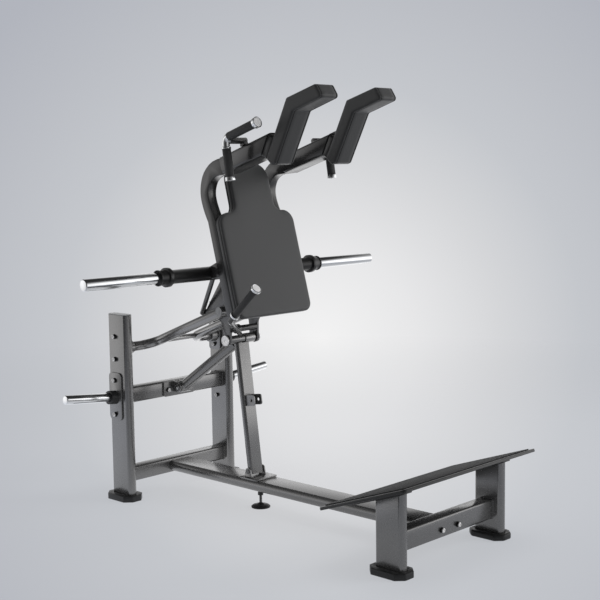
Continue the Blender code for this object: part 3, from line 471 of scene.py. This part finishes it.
def copied(node, name, dropped=None):
    # a node's triangles merged into flat faces, without the faces that are dropped
    item = bpy.data.objects.new(name, frame["nodes"][node].data.copy())
    scene.collection.objects.link(item)
    editing(item)
    if dropped:
        pickFaces(item, dropped)
        bpy.ops.mesh.delete(type="FACE")
    bpy.ops.mesh.select_all(action="SELECT")
    bpy.ops.mesh.remove_doubles(threshold=mergeReach)
    bpy.ops.mesh.dissolve_limited(angle_limit=flatAngle)
    closeEdit()
    if item.data.has_custom_normals:
        bpy.ops.mesh.customdata_custom_splitnormals_clear()
    return item


def dress(node, look):
    item = copied(node, node + "_finished")
    bevelled(item, look["edge"], creaseAngle)
    smoothed(item, look["angle"])
    settled(item, node + "_finished", look["paint"], bodyOf[node])
    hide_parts(node)
    finished[node] = item


for look in dressing.values():
    for node in look["nodes"]:
        dress(node, look)
print("dressed", len(finished), "steel and rubber pieces")


def face(node, axis, sign):
    # the coordinate of a node's outer side along one axis
    low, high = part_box(node)
    return (high if sign > 0 else low)[axis]


def repaint(node, paint, wanted):
    # gives the faces that are wanted a second finish
    item = finished[node]
    item.data.materials.append(paints[paint])
    for patch in item.data.polygons:
        if wanted(patch.center):
            patch.material_index = len(item.data.materials) - 1


# second finishes: bare bars chromed, the foot's stem painted, the storage collars of rubber

footStem = {"from": 0.0225}
storageCollar = {"from": 0.0080}
bareHandle = handlePlaces["x"] - handlePlaces["bareIn"]
leverKnee = spot(*leverPlaces["knee"])

for side in sides:
    repaint("upper_handle_" + side, "chrome", lambda c: abs(c.x) > bareHandle)
repaint("release_lever", "chrome",
        lambda c: (c - leverKnee).dot(gripLines["lever"]) > leverPlaces["bareFrom"])
repaint("levelling_foot", "darkCarriage", lambda c: c.z > footStem["from"])
for side, sign in sides.items():
    plateFace = abs(face("upright_" + side, 0, sign)) + storageCollar["from"]
    repaint("storage_plate_" + side, "rubber", lambda c, start=plateFace: abs(c.x) > start)


def standingDisc(radius, thick, count, ends="NGON"):
    # its foot is at the origin and it rises along Z
    bpy.ops.object.select_all(action="DESELECT")
    bpy.ops.mesh.primitive_cylinder_add(vertices=count, radius=radius, depth=thick,
                                        end_fill_type=ends, location=(0, 0, thick / 2))
    bpy.ops.object.transform_apply(location=True, rotation=False, scale=False)
    return bpy.context.object


# bolt heads, bright on top, with a socket and a washer; their washers and sides are painted black
# as painted shade

boltHead = {"radius": 0.0092, "height": 0.0140, "dome": 0.0032, "socket": 0.0036, "deep": 0.0022,
            "washer": 0.0112, "washerThick": 0.0016, "edge": 0.0003, "count": 24,
            "crease": 40}
boltRounding = ((0.10, 0.45), (0.12, 0.33), (0.14, 0.22))


def makeBolt():
    item = standingDisc(boltHead["washer"], boltHead["washerThick"], boltHead["count"])
    editing(item)
    pickFaces(item, lambda f: f.normal.z > levelNormal)
    bpy.ops.mesh.inset(thickness=boltHead["washer"] - boltHead["radius"])
    shank = boltHead["height"] - boltHead["dome"] - boltHead["washerThick"]
    bpy.ops.mesh.extrude_region_move(TRANSFORM_OT_translate={"value": (0, 0, shank)})
    for share, rise in boltRounding:
        bpy.ops.mesh.inset(thickness=share * boltHead["radius"], depth=rise * boltHead["dome"])
    rim = boltHead["radius"] * (1 - sum(share for share, rise in boltRounding))
    bpy.ops.mesh.inset(thickness=rim - boltHead["socket"] / math.cos(math.pi / 6))
    closeEdit()
    for patch in item.data.polygons:
        if patch.normal.z > levelNormal and patch.center.z > boltHead["height"] - mergeReach:
            for index in patch.vertices:
                flat = item.data.vertices[index].co
                turn = math.atan2(flat.y, flat.x) % (math.pi / 3) - math.pi / 6
                reach = boltHead["socket"] / math.cos(turn) / math.hypot(flat.x, flat.y)
                flat.x *= reach
                flat.y *= reach
    editing(item)
    pickFaces(item, lambda f: f.normal.z > levelNormal and len(f.verts) == boltHead["count"]
              and f.calc_center_median().z > boltHead["height"] - mergeReach)
    bpy.ops.mesh.extrude_region_move(TRANSFORM_OT_translate={"value": (0, 0, -boltHead["deep"])})
    closeEdit()
    bevelled(item, boltHead["edge"], boltHead["crease"])
    return smoothed(item, boltHead["crease"])


boltPlaces = {"uprightZ": (0.7315, 0.6308), "uprightY": 0.012, "storageZ": (0.5376, 0.385),
              "storageY": 0.010, "bracketX": 0.066, "bracketY": -0.0363, "bracketZ": 0.463,
              "crossX": 0.050, "crossZ": 0.112, "storagePlate": 0.007, "seat": 0.0003,
              "bearingIn": 0.009, "innerSize": 0.9}
boltPattern = makeBolt()


def bolt(name, place, direction, size=1.0):
    along = Vector(direction)
    item = twin(boltPattern, name, turnedTo(place, along) @ Matrix.Scale(size, 4), "frame",
                "bolt")
    # the washer and the sides below the dome are painted black as their shade
    item.data.materials.append(paints["black"])
    shank = (boltHead["height"] - boltHead["dome"]) * size
    for patch in item.data.polygons:
        if (patch.center - place).dot(along) < shank:
            patch.material_index = 1


def fitBolts():
    b = boltPlaces
    for side, sign in sides.items():
        outer = abs(face("upright_" + side, 0, sign))
        inner = abs(face("upright_" + side, 0, -sign))
        bearing = abs(face("pivot_bearing_" + side, 0, sign)) - b["bearingIn"]
        plateFace = outer + b["seat"] + b["storagePlate"]
        for i, z in enumerate(b["uprightZ"]):
            bolt(f"upright_bolt_{side}_{i}", spot(sign * outer, b["uprightY"], z), (sign, 0, 0))
            bolt(f"bearing_bolt_{side}_{i}", spot(sign * bearing, b["uprightY"], z),
                 (-sign, 0, 0), b["innerSize"])
        for i, z in enumerate(b["storageZ"]):
            bolt(f"storage_bolt_{side}_{i}", spot(sign * plateFace, b["storageY"], z),
                 (sign, 0, 0))
            bolt(f"storage_nut_{side}_{i}", spot(sign * inner, b["storageY"], z),
                 (-sign, 0, 0), b["innerSize"])
        bolt("bracket_bolt_" + side, spot(sign * b["bracketX"], b["bracketY"], b["bracketZ"]),
             (0, -1, 0))
        front = face("front_crossmember", 1, -1)
        bolt("crossmember_bolt_" + side, Vector((sign * b["crossX"], front, b["crossZ"])),
             (0, -1, 0))


fitBolts()
discard(boltPattern)
print("fitted the bolts")


# end caps and rings: a disc whose outer face is stepped by insets

roundPieces = {"count": 40, "segments": 3, "crease": 35, "rimSpare": 0.001}


def cap(name, place, direction, plan, body, paint, disc=None):
    r = roundPieces
    item = standingDisc(plan["radius"], plan["thick"], r["count"])
    editing(item)
    pickFaces(item, lambda f: f.normal.z > levelNormal)
    for inset, depth in plan["steps"]:
        bpy.ops.mesh.inset(thickness=inset, depth=depth)
    closeEdit()
    bevelled(item, plan["edge"], r["crease"], r["segments"])
    smoothed(item, r["crease"])
    within = plan["radius"] - plan["steps"][0][0] - r["rimSpare"]
    flat = [f.index for f in item.data.polygons
            if f.center.z > plan["thick"] / 2 and math.hypot(f.center.x, f.center.y) < within]
    item.data.transform(turnedTo(place, Vector(direction)))
    settled(item, name, paint, body)
    if disc:
        item.data.materials.append(paints[disc])
        for index in flat:
            item.data.polygons[index].material_index = 1


capPlans = {
    "armEnd": {"radius": 0.0200, "thick": 0.0022, "edge": 0.0008,
               "steps": ((0.0030, 0), (0.0008, -0.0005), (0.0060, 0.0002), (0.0010, 0.0004))},
    "axleEnd": {"radius": 0.0222, "thick": 0.0040, "edge": 0.0008,
                "steps": ((0.0040, 0.0004), (0.0006, -0.0006), (0.0130, 0.0003),
                          (0.0006, -0.0016))},
    "gripEnd": {"radius": 0.0222, "thick": 0.0150, "edge": 0.0014,
                "steps": ((0.0030, 0), (0.0008, -0.0008), (0.0070, 0), (0.0006, 0.0006),
                          (0.0030, 0.0002))},
    "gripFoot": {"radius": 0.0205, "thick": 0.0145, "edge": 0.0008,
                 "steps": ((0.0040, 0), (0.0008, -0.0006))},
    "leverEnd": {"radius": 0.0225, "thick": 0.0110, "edge": 0.0016,
                 "steps": ((0.0034, 0), (0.0008, -0.0008), (0.0080, 0), (0.0006, 0.0006))},
}


def fitCaps():
    h = handlePlaces
    for side, sign in sides.items():
        out = Vector((sign, 0, 0))
        tube = middle("arm_cross_tube")
        tube.x = face("arm_cross_tube", 0, sign)
        cap("arm_cap_" + side, tube, out, capPlans["armEnd"], "swing_arm",
            "plasticCap")
        axle = middle("lower_axle")
        axle.x = face("lower_axle", 0, sign)
        cap("axle_cap_" + side, axle, out, capPlans["axleEnd"], "carriage", "bolt")
        low = spot(sign * h["x"], *h["foot"]) + gripLines["upright"] * h["footIn"]
        cap("grip_foot_" + side, low, -gripLines["upright"], capPlans["gripFoot"], "carriage",
            "chrome", "satin")
        high = spot(sign * h["x"], *h["front"]) - gripLines["inclined"] * h["frontIn"]
        cap("grip_end_" + side, high, gripLines["inclined"], capPlans["gripEnd"], "carriage",
            "chrome", "satin")
    end = spot(*leverPlaces["end"]) - gripLines["lever"] * leverPlaces["endIn"]
    cap("lever_cap", end, gripLines["lever"], capPlans["leverEnd"], "lever", "chrome",
        "satin")


fitCaps()


def collar(name, start, direction, plan, body, paint):
    r = roundPieces
    item = standingDisc(plan["radius"], plan["length"], r["count"], "NOTHING")
    applied(item, "SOLIDIFY", {"thickness": plan["radius"] - plan["bore"], "offset": -1.0})
    bevelled(item, plan["edge"], r["crease"], r["segments"])
    smoothed(item, r["crease"])
    item.data.transform(turnedTo(start, Vector(direction)))
    settled(item, name, paint, body)


collarPlans = {
    "gripTop": {"radius": 0.0195, "bore": 0.0128, "length": 0.0080, "edge": 0.0012},
    "linkBush": {"radius": 0.0212, "bore": 0.0172, "length": 0.0560, "edge": 0.0010},
    "hornLip": {"radius": 0.0330, "bore": 0.0242, "length": 0.0060, "edge": 0.0010},
}
collarPlaces = {"topAlong": 0.1250, "bushX": 0.0125, "ringIn": 0.0060}


def fitCollars():
    h = handlePlaces
    c = collarPlaces
    axle = middle("lower_axle")
    for side, sign in sides.items():
        foot = spot(sign * h["x"], *h["foot"])
        collar("grip_ring_" + side, foot + gripLines["upright"] * c["topAlong"],
               gripLines["upright"], collarPlans["gripTop"], "carriage", "chrome")
        out = Vector((sign, 0, 0))
        sleeveEnd = middle("horn_sleeve")
        sleeveEnd.x = face("horn_sleeve", 0, sign)
        collar("horn_lip_" + side, sleeveEnd - out * c["ringIn"], out, collarPlans["hornLip"],
               "carriage", "black")
    # only this side has room for a bush, clear of the release lever
    collar("link_bush", Vector((c["bushX"], axle.y, axle.z)), Vector((1, 0, 0)),
           collarPlans["linkBush"], "link", "arm")


fitCollars()
print("fitted caps and collars")


# chromed elbows, fatter than the bare bar, where the handle turns forward

elbowBend = {"radius": 0.0162, "before": 0.0330, "after": 0.0236, "steps": 12, "rim": 0.0010,
             "rimCrease": 60, "smooth": 40, "roundness": 10}


def roundBar(name, path, radius, roundness, swells=None):
    # with swells the bar is a closed loop whose radius follows them
    curve = bpy.data.curves.new(name, "CURVE")
    curve.dimensions = "3D"
    curve.bevel_depth = radius
    curve.bevel_resolution = roundness
    curve.use_fill_caps = True
    run = curve.splines.new("POLY")
    run.points.add(len(path) - 1)
    run.use_cyclic_u = bool(swells)
    for i, place in enumerate(path):
        run.points[i].co = (*place, 1)
        run.points[i].radius = swells[i] if swells else 1
    item = bpy.data.objects.new(name, curve)
    scene.collection.objects.link(item)
    activate(item)
    bpy.ops.object.convert(target="MESH")
    item = bpy.context.object
    editing(item)
    bpy.ops.mesh.select_all(action="SELECT")
    bpy.ops.mesh.remove_doubles(threshold=mergeReach)
    bpy.ops.mesh.normals_make_consistent(inside=False)
    closeEdit()
    return item


def fitElbows():
    e = elbowBend
    for side, sign in sides.items():
        corner = spot(sign * handlePlaces["x"], *handlePlaces["corner"])
        start = corner - gripLines["upright"] * e["before"]
        end = corner + gripLines["inclined"] * e["after"]
        path = []
        for k in range(e["steps"] + 1):
            t = k / e["steps"]
            path.append(start.lerp(corner, t).lerp(corner.lerp(end, t), t))
        item = roundBar("elbow_" + side, path, e["radius"], e["roundness"])
        bevelled(item, e["rim"], e["rimCrease"])
        settled(smoothed(item, e["smooth"]), "elbow_" + side, "chrome", "carriage")


fitElbows()


# the foot's lock nut, and the caps in the tops of the uprights

lockNut = {"radius": 0.0128, "thick": 0.0140, "top": 0.0675, "edge": 0.0016,
           "rim": 0.16, "raised": 0.0006, "crease": 30}


def makeLockNut():
    n = lockNut
    bpy.ops.object.select_all(action="DESELECT")
    centre = middle("levelling_foot")
    bpy.ops.mesh.primitive_cylinder_add(
        vertices=6, radius=n["radius"], depth=n["thick"],
        location=(centre.x, centre.y, n["top"] - n["thick"] / 2))
    item = bpy.context.object
    editing(item)
    pickFaces(item, lambda f: abs(f.normal.z) > levelNormal)
    bpy.ops.mesh.inset(thickness=n["radius"] * n["rim"], use_individual=True, depth=n["raised"])
    closeEdit()
    bevelled(item, n["edge"], n["crease"])
    settled(smoothed(item, n["crease"]), "lock_nut", "black", "foot")


topCap = {"thick": 0.0032, "edge": 0.0010, "within": 0.0001, "crease": 50, "smooth": 30}


def makeTopCaps():
    # each tube's top face becomes a plate that closes it
    for side in sides:
        level = face("upright_" + side, 2, 1) - topCap["within"]
        item = copied("upright_" + side, "top_cap",
                      lambda f, level=level: f.calc_center_median().z < level)
        applied(item, "SOLIDIFY", {"thickness": topCap["thick"], "offset": 1.0})
        bevelled(item, topCap["edge"], topCap["crease"])
        settled(smoothed(item, topCap["smooth"]), "top_cap_" + side, "plasticCap", "frame")


makeLockNut()
makeTopCaps()
print("fitted elbows, lock nut and top caps")


# pads: closed rings of points, drawn in towards the crown, with a sewn channel round the edge

def roundedCorners(corners, radii, steps):
    points = []
    for i, corner in enumerate(corners):
        here = Vector(corner)
        before = (Vector(corners[i - 1]) - here).normalized()
        after = (Vector(corners[(i + 1) % len(corners)]) - here).normalized()
        half = before.angle(after) / 2
        centre = here + (before + after).normalized() * radii[i] / math.sin(half)
        first = here + before * radii[i] / math.tan(half) - centre
        last = here + after * radii[i] / math.tan(half) - centre
        sweep = first.angle_signed(last)
        for k in range(steps + 1):
            points.append(centre + Matrix.Rotation(-sweep * k / steps, 2) @ first)
    return points


tightestBend = 0.002


def shrunk(corners, radii, inset, steps):
    # every side moves in by inset; outer corners tighten and inner ones open
    area = sum(a[0] * b[1] - b[0] * a[1] for a, b in zip(corners, corners[1:] + corners[:1]))
    turn = 1 if area > 0 else -1
    moved, bends = [], []
    for i, corner in enumerate(corners):
        here = Vector(corner)
        into = (here - Vector(corners[i - 1])).normalized()
        away = (Vector(corners[(i + 1) % len(corners)]) - here).normalized()
        normals = [Vector((-d.y, d.x)) * turn for d in (into, away)]
        middleWay = (normals[0] + normals[1]).normalized()
        moved.append(here + middleWay * inset / middleWay.dot(normals[0]))
        convex = (into.x * away.y - into.y * away.x) * turn > 0
        bends.append(max(radii[i] - inset, tightestBend) if convex else radii[i] + inset)
    return roundedCorners(moved, bends, steps)


def lofted(name, rings):
    # rings of equal length joined by faces, with a cap at each end
    shape = bmesh.new()
    loops = [[shape.verts.new(p) for p in ring] for ring in rings]
    for low, high in zip(loops, loops[1:]):
        for i in range(len(low)):
            shape.faces.new((low[i - 1], low[i], high[i], high[i - 1]))
    shape.faces.new(loops[0])
    shape.faces.new(loops[-1])
    bmesh.ops.recalc_face_normals(shape, faces=shape.faces)
    mesh = bpy.data.meshes.new(name)
    shape.to_mesh(mesh)
    shape.free()
    item = bpy.data.objects.new(name, mesh)
    scene.collection.objects.link(item)
    return item


def sewn(item, count, bands):
    # the bands between these rings lie in the seam and are painted dark as its shade
    item.data.materials.append(paints["seam"])
    for band in bands:
        for index in range(band * count, (band + 1) * count):
            item.data.polygons[index].material_index = 1


railFoot, railBend = (-0.605, 0.858), (-0.501, 1.246)
backPad = {"bottom": (-0.6351, 0.8382), "length": 0.655, "halfWidth": 0.215, "ledge": 0.447,
           "neck": 0.115, "head": 0.112, "bottomCorner": 0.038, "ledgeCorner": 0.055,
           "neckCorner": 0.038, "headCorner": 0.070, "lift": 0.0126,
           "rings": ((0.0060, 0.0), (0.0030, 0.0012), (0.0010, 0.0050), (0.0, 0.0110),
                     (0.0, 0.0186), (0.0004, 0.0193), (0.0022, 0.0201), (0.0022, 0.0215),
                     (0.0004, 0.0223), (0.0, 0.0230), (0.0, 0.0268), (0.0006, 0.0293),
                     (0.0020, 0.0318), (0.0042, 0.0336), (0.0072, 0.0346), (0.0120, 0.0352),
                     (0.0200, 0.0356), (0.0300, 0.0358)), "seam": (5, 6, 7),
           "steps": 8, "smooth": 50}


def makeBackPad():
    b = backPad
    right = [(b["halfWidth"], 0), (b["halfWidth"], b["ledge"]), (b["neck"], b["ledge"]),
             (b["head"], b["length"])]
    radii = [b["bottomCorner"], b["ledgeCorner"], b["neckCorner"], b["headCorner"]]
    corners = right + [(-x, y) for x, y in right[::-1]]
    bends = radii + radii[::-1]
    up = rising(railFoot, railBend)
    out = Vector((0, -up.z, up.y))
    foot = spot(0, *b["bottom"])
    rings = []
    for inset, height in b["rings"]:
        line = shrunk(corners, bends, inset, b["steps"])
        rings.append([foot + Vector((p.x, 0, 0)) + up * p.y + out * (b["lift"] + height)
                      for p in line])
    item = smoothed(lofted("back_cushion", rings), b["smooth"])
    settled(item, "back_cushion", "backVinyl", "carriage")
    sewn(item, len(rings[0]), b["seam"])
    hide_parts("back_pad")


shoulderPad = {"x": 0.1735, "corner": 0.013, "cornerSteps": 6, "smooth": 50, "rearLength": 0.2558,
               "armFoot": (-0.602, 1.437), "armDepth": 0.074, "armSlope": 17.4,
               "armReach": (0.2306, 0.3015), "rise": 0.0062, "mount": 0.0304,
               "steps": ((-0.268, 0.275), (-0.300, 0.225), (-0.152, 0.178), (-0.051, -0.021),
                         (-0.030, -0.028)),
               "rings": ((0.0180, 0.0525), (0.0100, 0.0524), (0.0060, 0.0519),
                         (0.0032, 0.0506), (0.0013, 0.0487), (0.0003, 0.0463),
                         (0.0, 0.0444), (0.0004, 0.0435), (0.0024, 0.0425),
                         (0.0024, 0.0405), (0.0004, 0.0395), (0.0, 0.0386),
                         (0.0, 0.0200)), "seam": (7, 8, 9)}


def shoulderCorners():
    # the pad stands on its mount, which closes the slanted end of the arm
    s = shoulderPad
    slope = math.radians(s["armSlope"])
    ahead = Vector((-math.cos(slope), math.sin(slope)))
    foot = Vector(s["armFoot"])
    bottom = foot + ahead * s["armReach"][0]
    top = foot + Vector((ahead.y, -ahead.x)) * s["armDepth"] + ahead * s["armReach"][1]
    up = (top - bottom).normalized()
    rear = bottom + up * s["rise"] + Vector((-up.y, up.x)) * s["mount"]
    return [rear, rear + up * s["rearLength"], *(rear + Vector(step) for step in s["steps"])]


def makeShoulderPads():
    s = shoulderPad
    corners = [tuple(corner) for corner in shoulderCorners()]
    bends = [s["corner"]] * len(corners)
    levels = list(s["rings"]) + [(inset, -x) for inset, x in s["rings"][::-1]]
    for side, sign in sides.items():
        rings = [[spot(sign * s["x"] + x, p.x, p.y)
                  for p in shrunk(corners, bends, inset, s["cornerSteps"])]
                 for inset, x in levels]
        item = smoothed(lofted("shoulder_cushion_" + side, rings), s["smooth"])
        settled(item, "shoulder_cushion_" + side, "shoulderVinyl", "carriage")
        last = len(rings) - 2
        sewn(item, len(rings[0]), [*s["seam"], *(last - band for band in s["seam"])])
        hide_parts("shoulder_pad_" + side)


makeBackPad()
makeShoulderPads()
print("upholstered the pads")


# weld beads where the steel is joined

weldBead = {"radius": 0.0022, "ripple": 0.0005, "pitch": 0.0045, "roundness": 1,
            "smooth": 60}
weldCorners = {"crossmember": 0.008, "lowerBar": 0.002, "steps": 5}


def bead(name, path, body, paint):
    # a closed bar along the path whose radius swells with each ripple
    w = weldBead
    spacing = w["pitch"] / 4
    points = []
    for a, b in zip(path, path[1:] + path[:1]):
        count = max(1, round((b - a).length / spacing))
        points += [a.lerp(b, k / count) for k in range(count)]
    swells = [1 + w["ripple"] / w["radius"] * math.cos(math.pi / 2 * i)
              for i in range(len(points))]
    item = roundBar(name, points, w["radius"], w["roundness"], swells)
    settled(smoothed(item, w["smooth"]), name, paint, body)


def edgeLoop(node, axis, sign, corner):
    # the rounded rectangle round one end of a bar
    low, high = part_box(node)
    a, b = [i for i in range(3) if i != axis]
    corners = [(low[a], low[b]), (high[a], low[b]), (high[a], high[b]), (low[a], high[b])]
    loop = []
    for p in roundedCorners(corners, [corner] * 4, weldCorners["steps"]):
        place = Vector((0, 0, 0))
        place[a], place[b] = p
        place[axis] = (high if sign > 0 else low)[axis]
        loop.append(place)
    return loop


def weldFrame():
    for side, sign in sides.items():
        for node in ("lower_crossmember", "upper_crossmember", "front_crossmember"):
            bead(f"weld_{node}_{side}", edgeLoop(node, 0, sign, weldCorners["crossmember"]),
                 "frame", "frame")
        bar = edgeLoop("lower_bar", 0, sign, weldCorners["lowerBar"])
        bead("weld_lower_bar_" + side, bar, "carriage", "carriage")


weldFrame()
print("welded the frame")


# camera at the photograph's place

lens = {"place": (-3.6005, -4.2607, 1.4667), "turn": 0.8069, "down": 0.1094, "roll": -0.01358,
        "focal": 73.19, "sensor": 36.0, "farthest": 100}


def setCamera():
    yaw, pitch, roll = lens["turn"], lens["down"], lens["roll"]
    ahead = Vector((math.sin(yaw) * math.cos(pitch), math.cos(yaw) * math.cos(pitch),
                    -math.sin(pitch)))
    side = Vector((math.cos(yaw), -math.sin(yaw), 0))
    up = side.cross(ahead)
    right = side * math.cos(roll) + up * math.sin(roll)
    above = up * math.cos(roll) - side * math.sin(roll)
    data = bpy.data.cameras.new("camera")
    data.lens = lens["focal"]
    data.sensor_width = lens["sensor"]
    data.sensor_fit = "HORIZONTAL"
    data.clip_end = lens["farthest"]
    camera = bpy.data.objects.new("camera", data)
    turn = Matrix((right, above, -ahead)).transposed().to_4x4()
    camera.matrix_world = Matrix.Translation(spot(*lens["place"])) @ turn
    scene.collection.objects.link(camera)
    scene.camera = camera


setCamera()
print("placed the camera")


# floor and backdrop: pale, brightest behind the machine, with a faint shadow kept

backdropLook = {"turn": 0.8233, "down": 0.1422, "spread": 0.062,
                "stops": ((0.0, (0.895, 0.895, 0.895)), (0.22, (0.80, 0.80, 0.81)),
                          (0.42, (0.665, 0.672, 0.690)), (0.60, (0.555, 0.572, 0.605)),
                          (0.80, (0.500, 0.516, 0.555)), (1.0, (0.445, 0.462, 0.510)))}


def backdrop(graph, way):
    # its colour by fixed direction; the floor's are those from the photo camera's place
    b = backdropLook
    aim = (math.sin(b["turn"]) * math.cos(b["down"]), math.cos(b["turn"]) * math.cos(b["down"]),
           -math.sin(b["down"]))
    toward = graph.add("VectorMath", {"operation": "DOT_PRODUCT"}, {0: way, 1: aim}, 1)
    off = ((1.0 - toward) * (1 / b["spread"])).math("MAXIMUM", 0.0) ** 0.5
    return graph.add("ValToRGB", {"stops": b["stops"]}, {"Fac": off})


# in the metal the floor shows brighter behind the uprights than in front of them
floorLook = {"radius": 7.0, "tone": (0.60, 0.61, 0.63), "fadeStart": 2.4, "fadeEnd": 5.5,
             "own": 0.80, "mirroredOwn": 0.85, "glowFront": 0.85, "glowRear": 1.95,
             "rearFrom": 0.1, "rearBy": 1.5, "below": 0.0005, "count": 96,
             "gloss": 0.9, "specular": 0.1}


def makeFloor():
    f = floorLook
    bpy.ops.object.select_all(action="DESELECT")
    bpy.ops.mesh.primitive_circle_add(vertices=f["count"], radius=f["radius"],
                                      fill_type="NGON", location=(0, 0, -f["below"]))
    floor = bpy.context.object
    bpy.ops.object.transform_apply(location=True, rotation=True, scale=True)
    floor.name = "floor"
    paint = Paint("floorPaint", {"Roughness": f["gloss"], "Specular IOR Level": f["specular"],
                                 "Base Color": (*f["tone"], 1)})
    fromCamera = paint.add("VectorMath", {"operation": "SUBTRACT"},
                           {0: paint.place, 1: tuple(spot(*lens["place"]))})
    way = paint.add("VectorMath", {"operation": "NORMALIZE"}, {0: fromCamera})
    rays = paint.tree.nodes.new("ShaderNodeLightPath")
    seen = Wire(paint.tree, rays.outputs["Is Camera Ray"])
    mirrored = Wire(paint.tree, rays.outputs["Is Glossy Ray"])
    depth = paint.add("SeparateXYZ", None, {0: paint.place}, 1)
    back = ((depth - f["rearFrom"]) / (f["rearBy"] - f["rearFrom"])).clamped()
    gain = f["glowFront"] + back * (f["glowRear"] - f["glowFront"])
    shown = paint.add("VectorMath", {"operation": "SCALE"},
                      {0: backdrop(paint, way), "Scale": 1.0 + mirrored * (gain - 1.0)})
    glow = paint.add("Emission", None, {"Color": shown})
    lit = Wire(paint.tree, paint.shader.outputs[0])
    own = seen * f["own"] + mirrored * f["mirroredOwn"]
    blend = paint.add("MixShader", None, {0: own, 1: lit, 2: glow})
    reach = paint.add("VectorMath", {"operation": "LENGTH"}, {0: paint.place}, 1)
    gone = ((reach - f["fadeStart"]) / (f["fadeEnd"] - f["fadeStart"])).clamped()
    final = paint.add("MixShader", None, {0: gone, 1: blend, 2: paint.add("BsdfTransparent")})
    out = next(n for n in paint.tree.nodes if n.type == "OUTPUT_MATERIAL")
    paint.tree.links.new(final.socket, out.inputs[0])
    floor.data.materials.append(paint.material)


# what the metal mirrors, by fixed directions: bright to the front right and at the rear,
# dark towards the front left and overhead
mirrorLook = {"base": 0.26, "front": (0.75, -0.66, 0.0), "frontGlow": 1.5, "frontSharp": 4.0,
              "rear": (-0.55, 0.83, 0.0), "rearGlow": 1.10, "rearSharp": 14.0,
              "back": (0.71, 0.69, 0.12), "backGlow": 0.88, "backSharp": 4.0,
              "dark": (-0.90, -0.43, 0.0), "darkShade": 0.96, "darkSharp": 5.0,
              "topStart": 0.20, "topFade": 1.9, "topShade": 0.92, "fill": (0.50, 0.51, 0.53),
              "tint": (1.0, 1.0, 1.01)}


def makeSky():
    m = mirrorLook
    world = bpy.data.worlds.new("studio")
    scene.world = world
    world.use_nodes = True
    sky = Graph(world.node_tree)
    sky.tree.nodes.clear()
    way = sky.add("TexCoord")

    def lobe(direction, sharp):
        facing = sky.add("VectorMath", {"operation": "DOT_PRODUCT"}, {0: way, 1: direction}, 1)
        return facing.clamped() ** sharp

    glow = (m["base"] + lobe(m["front"], m["frontSharp"]) * m["frontGlow"]
            + lobe(m["rear"], m["rearSharp"]) * m["rearGlow"]
            + lobe(m["back"], m["backSharp"]) * m["backGlow"])
    shade = 1.0 - lobe(m["dark"], m["darkSharp"]) * m["darkShade"]
    above = (lobe((0, 0, 1), 1.0) - m["topStart"]) * m["topFade"]
    overhead = 1.0 - above.clamped() * m["topShade"]
    mirrored = sky.add("VectorMath", {"operation": "SCALE"},
                       {0: m["tint"], "Scale": glow * shade * overhead})
    rays = sky.tree.nodes.new("ShaderNodeLightPath")
    seen = Wire(sky.tree, rays.outputs["Is Camera Ray"])
    glossy = Wire(sky.tree, rays.outputs["Is Glossy Ray"])
    soft = sky.mixed(glossy, (*m["fill"], 1), mirrored)
    ground = sky.add("Background", None, {"Color": sky.mixed(seen, soft, backdrop(sky, way))})
    out = sky.tree.nodes.new("ShaderNodeOutputWorld")
    sky.tree.links.new(ground.socket, out.inputs[0])


lamps = {
    "key": {"place": (3.4, -3.6, 2.4), "aim": (0, 0, 0.8), "size": 2.4, "power": 150},
    "rearLeft": {"place": (-2.6, 3.3, 1.3), "aim": (-0.3, 0.8, 0.6), "size": 2.0, "power": 20},
    "overhead": {"place": (0.4, -0.4, 4.4), "aim": (0, 0, 0.6), "size": 3.0, "power": 70},
}


def makeLamps():
    for name, plan in lamps.items():
        data = bpy.data.lights.new(name, "AREA")
        data.energy = plan["power"]
        data.size = plan["size"]
        lamp = bpy.data.objects.new(name, data)
        lamp.visible_glossy = False  # no lamp shows in the metal
        place = Vector(plan["place"])
        aim = (Vector(plan["aim"]) - place).to_track_quat("-Z", "Y")
        lamp.matrix_world = Matrix.Translation(place) @ aim.to_matrix().to_4x4()
        scene.collection.objects.link(lamp)


makeFloor()
makeSky()
makeLamps()
scene.view_settings.view_transform = "Standard"
print("set the stage")
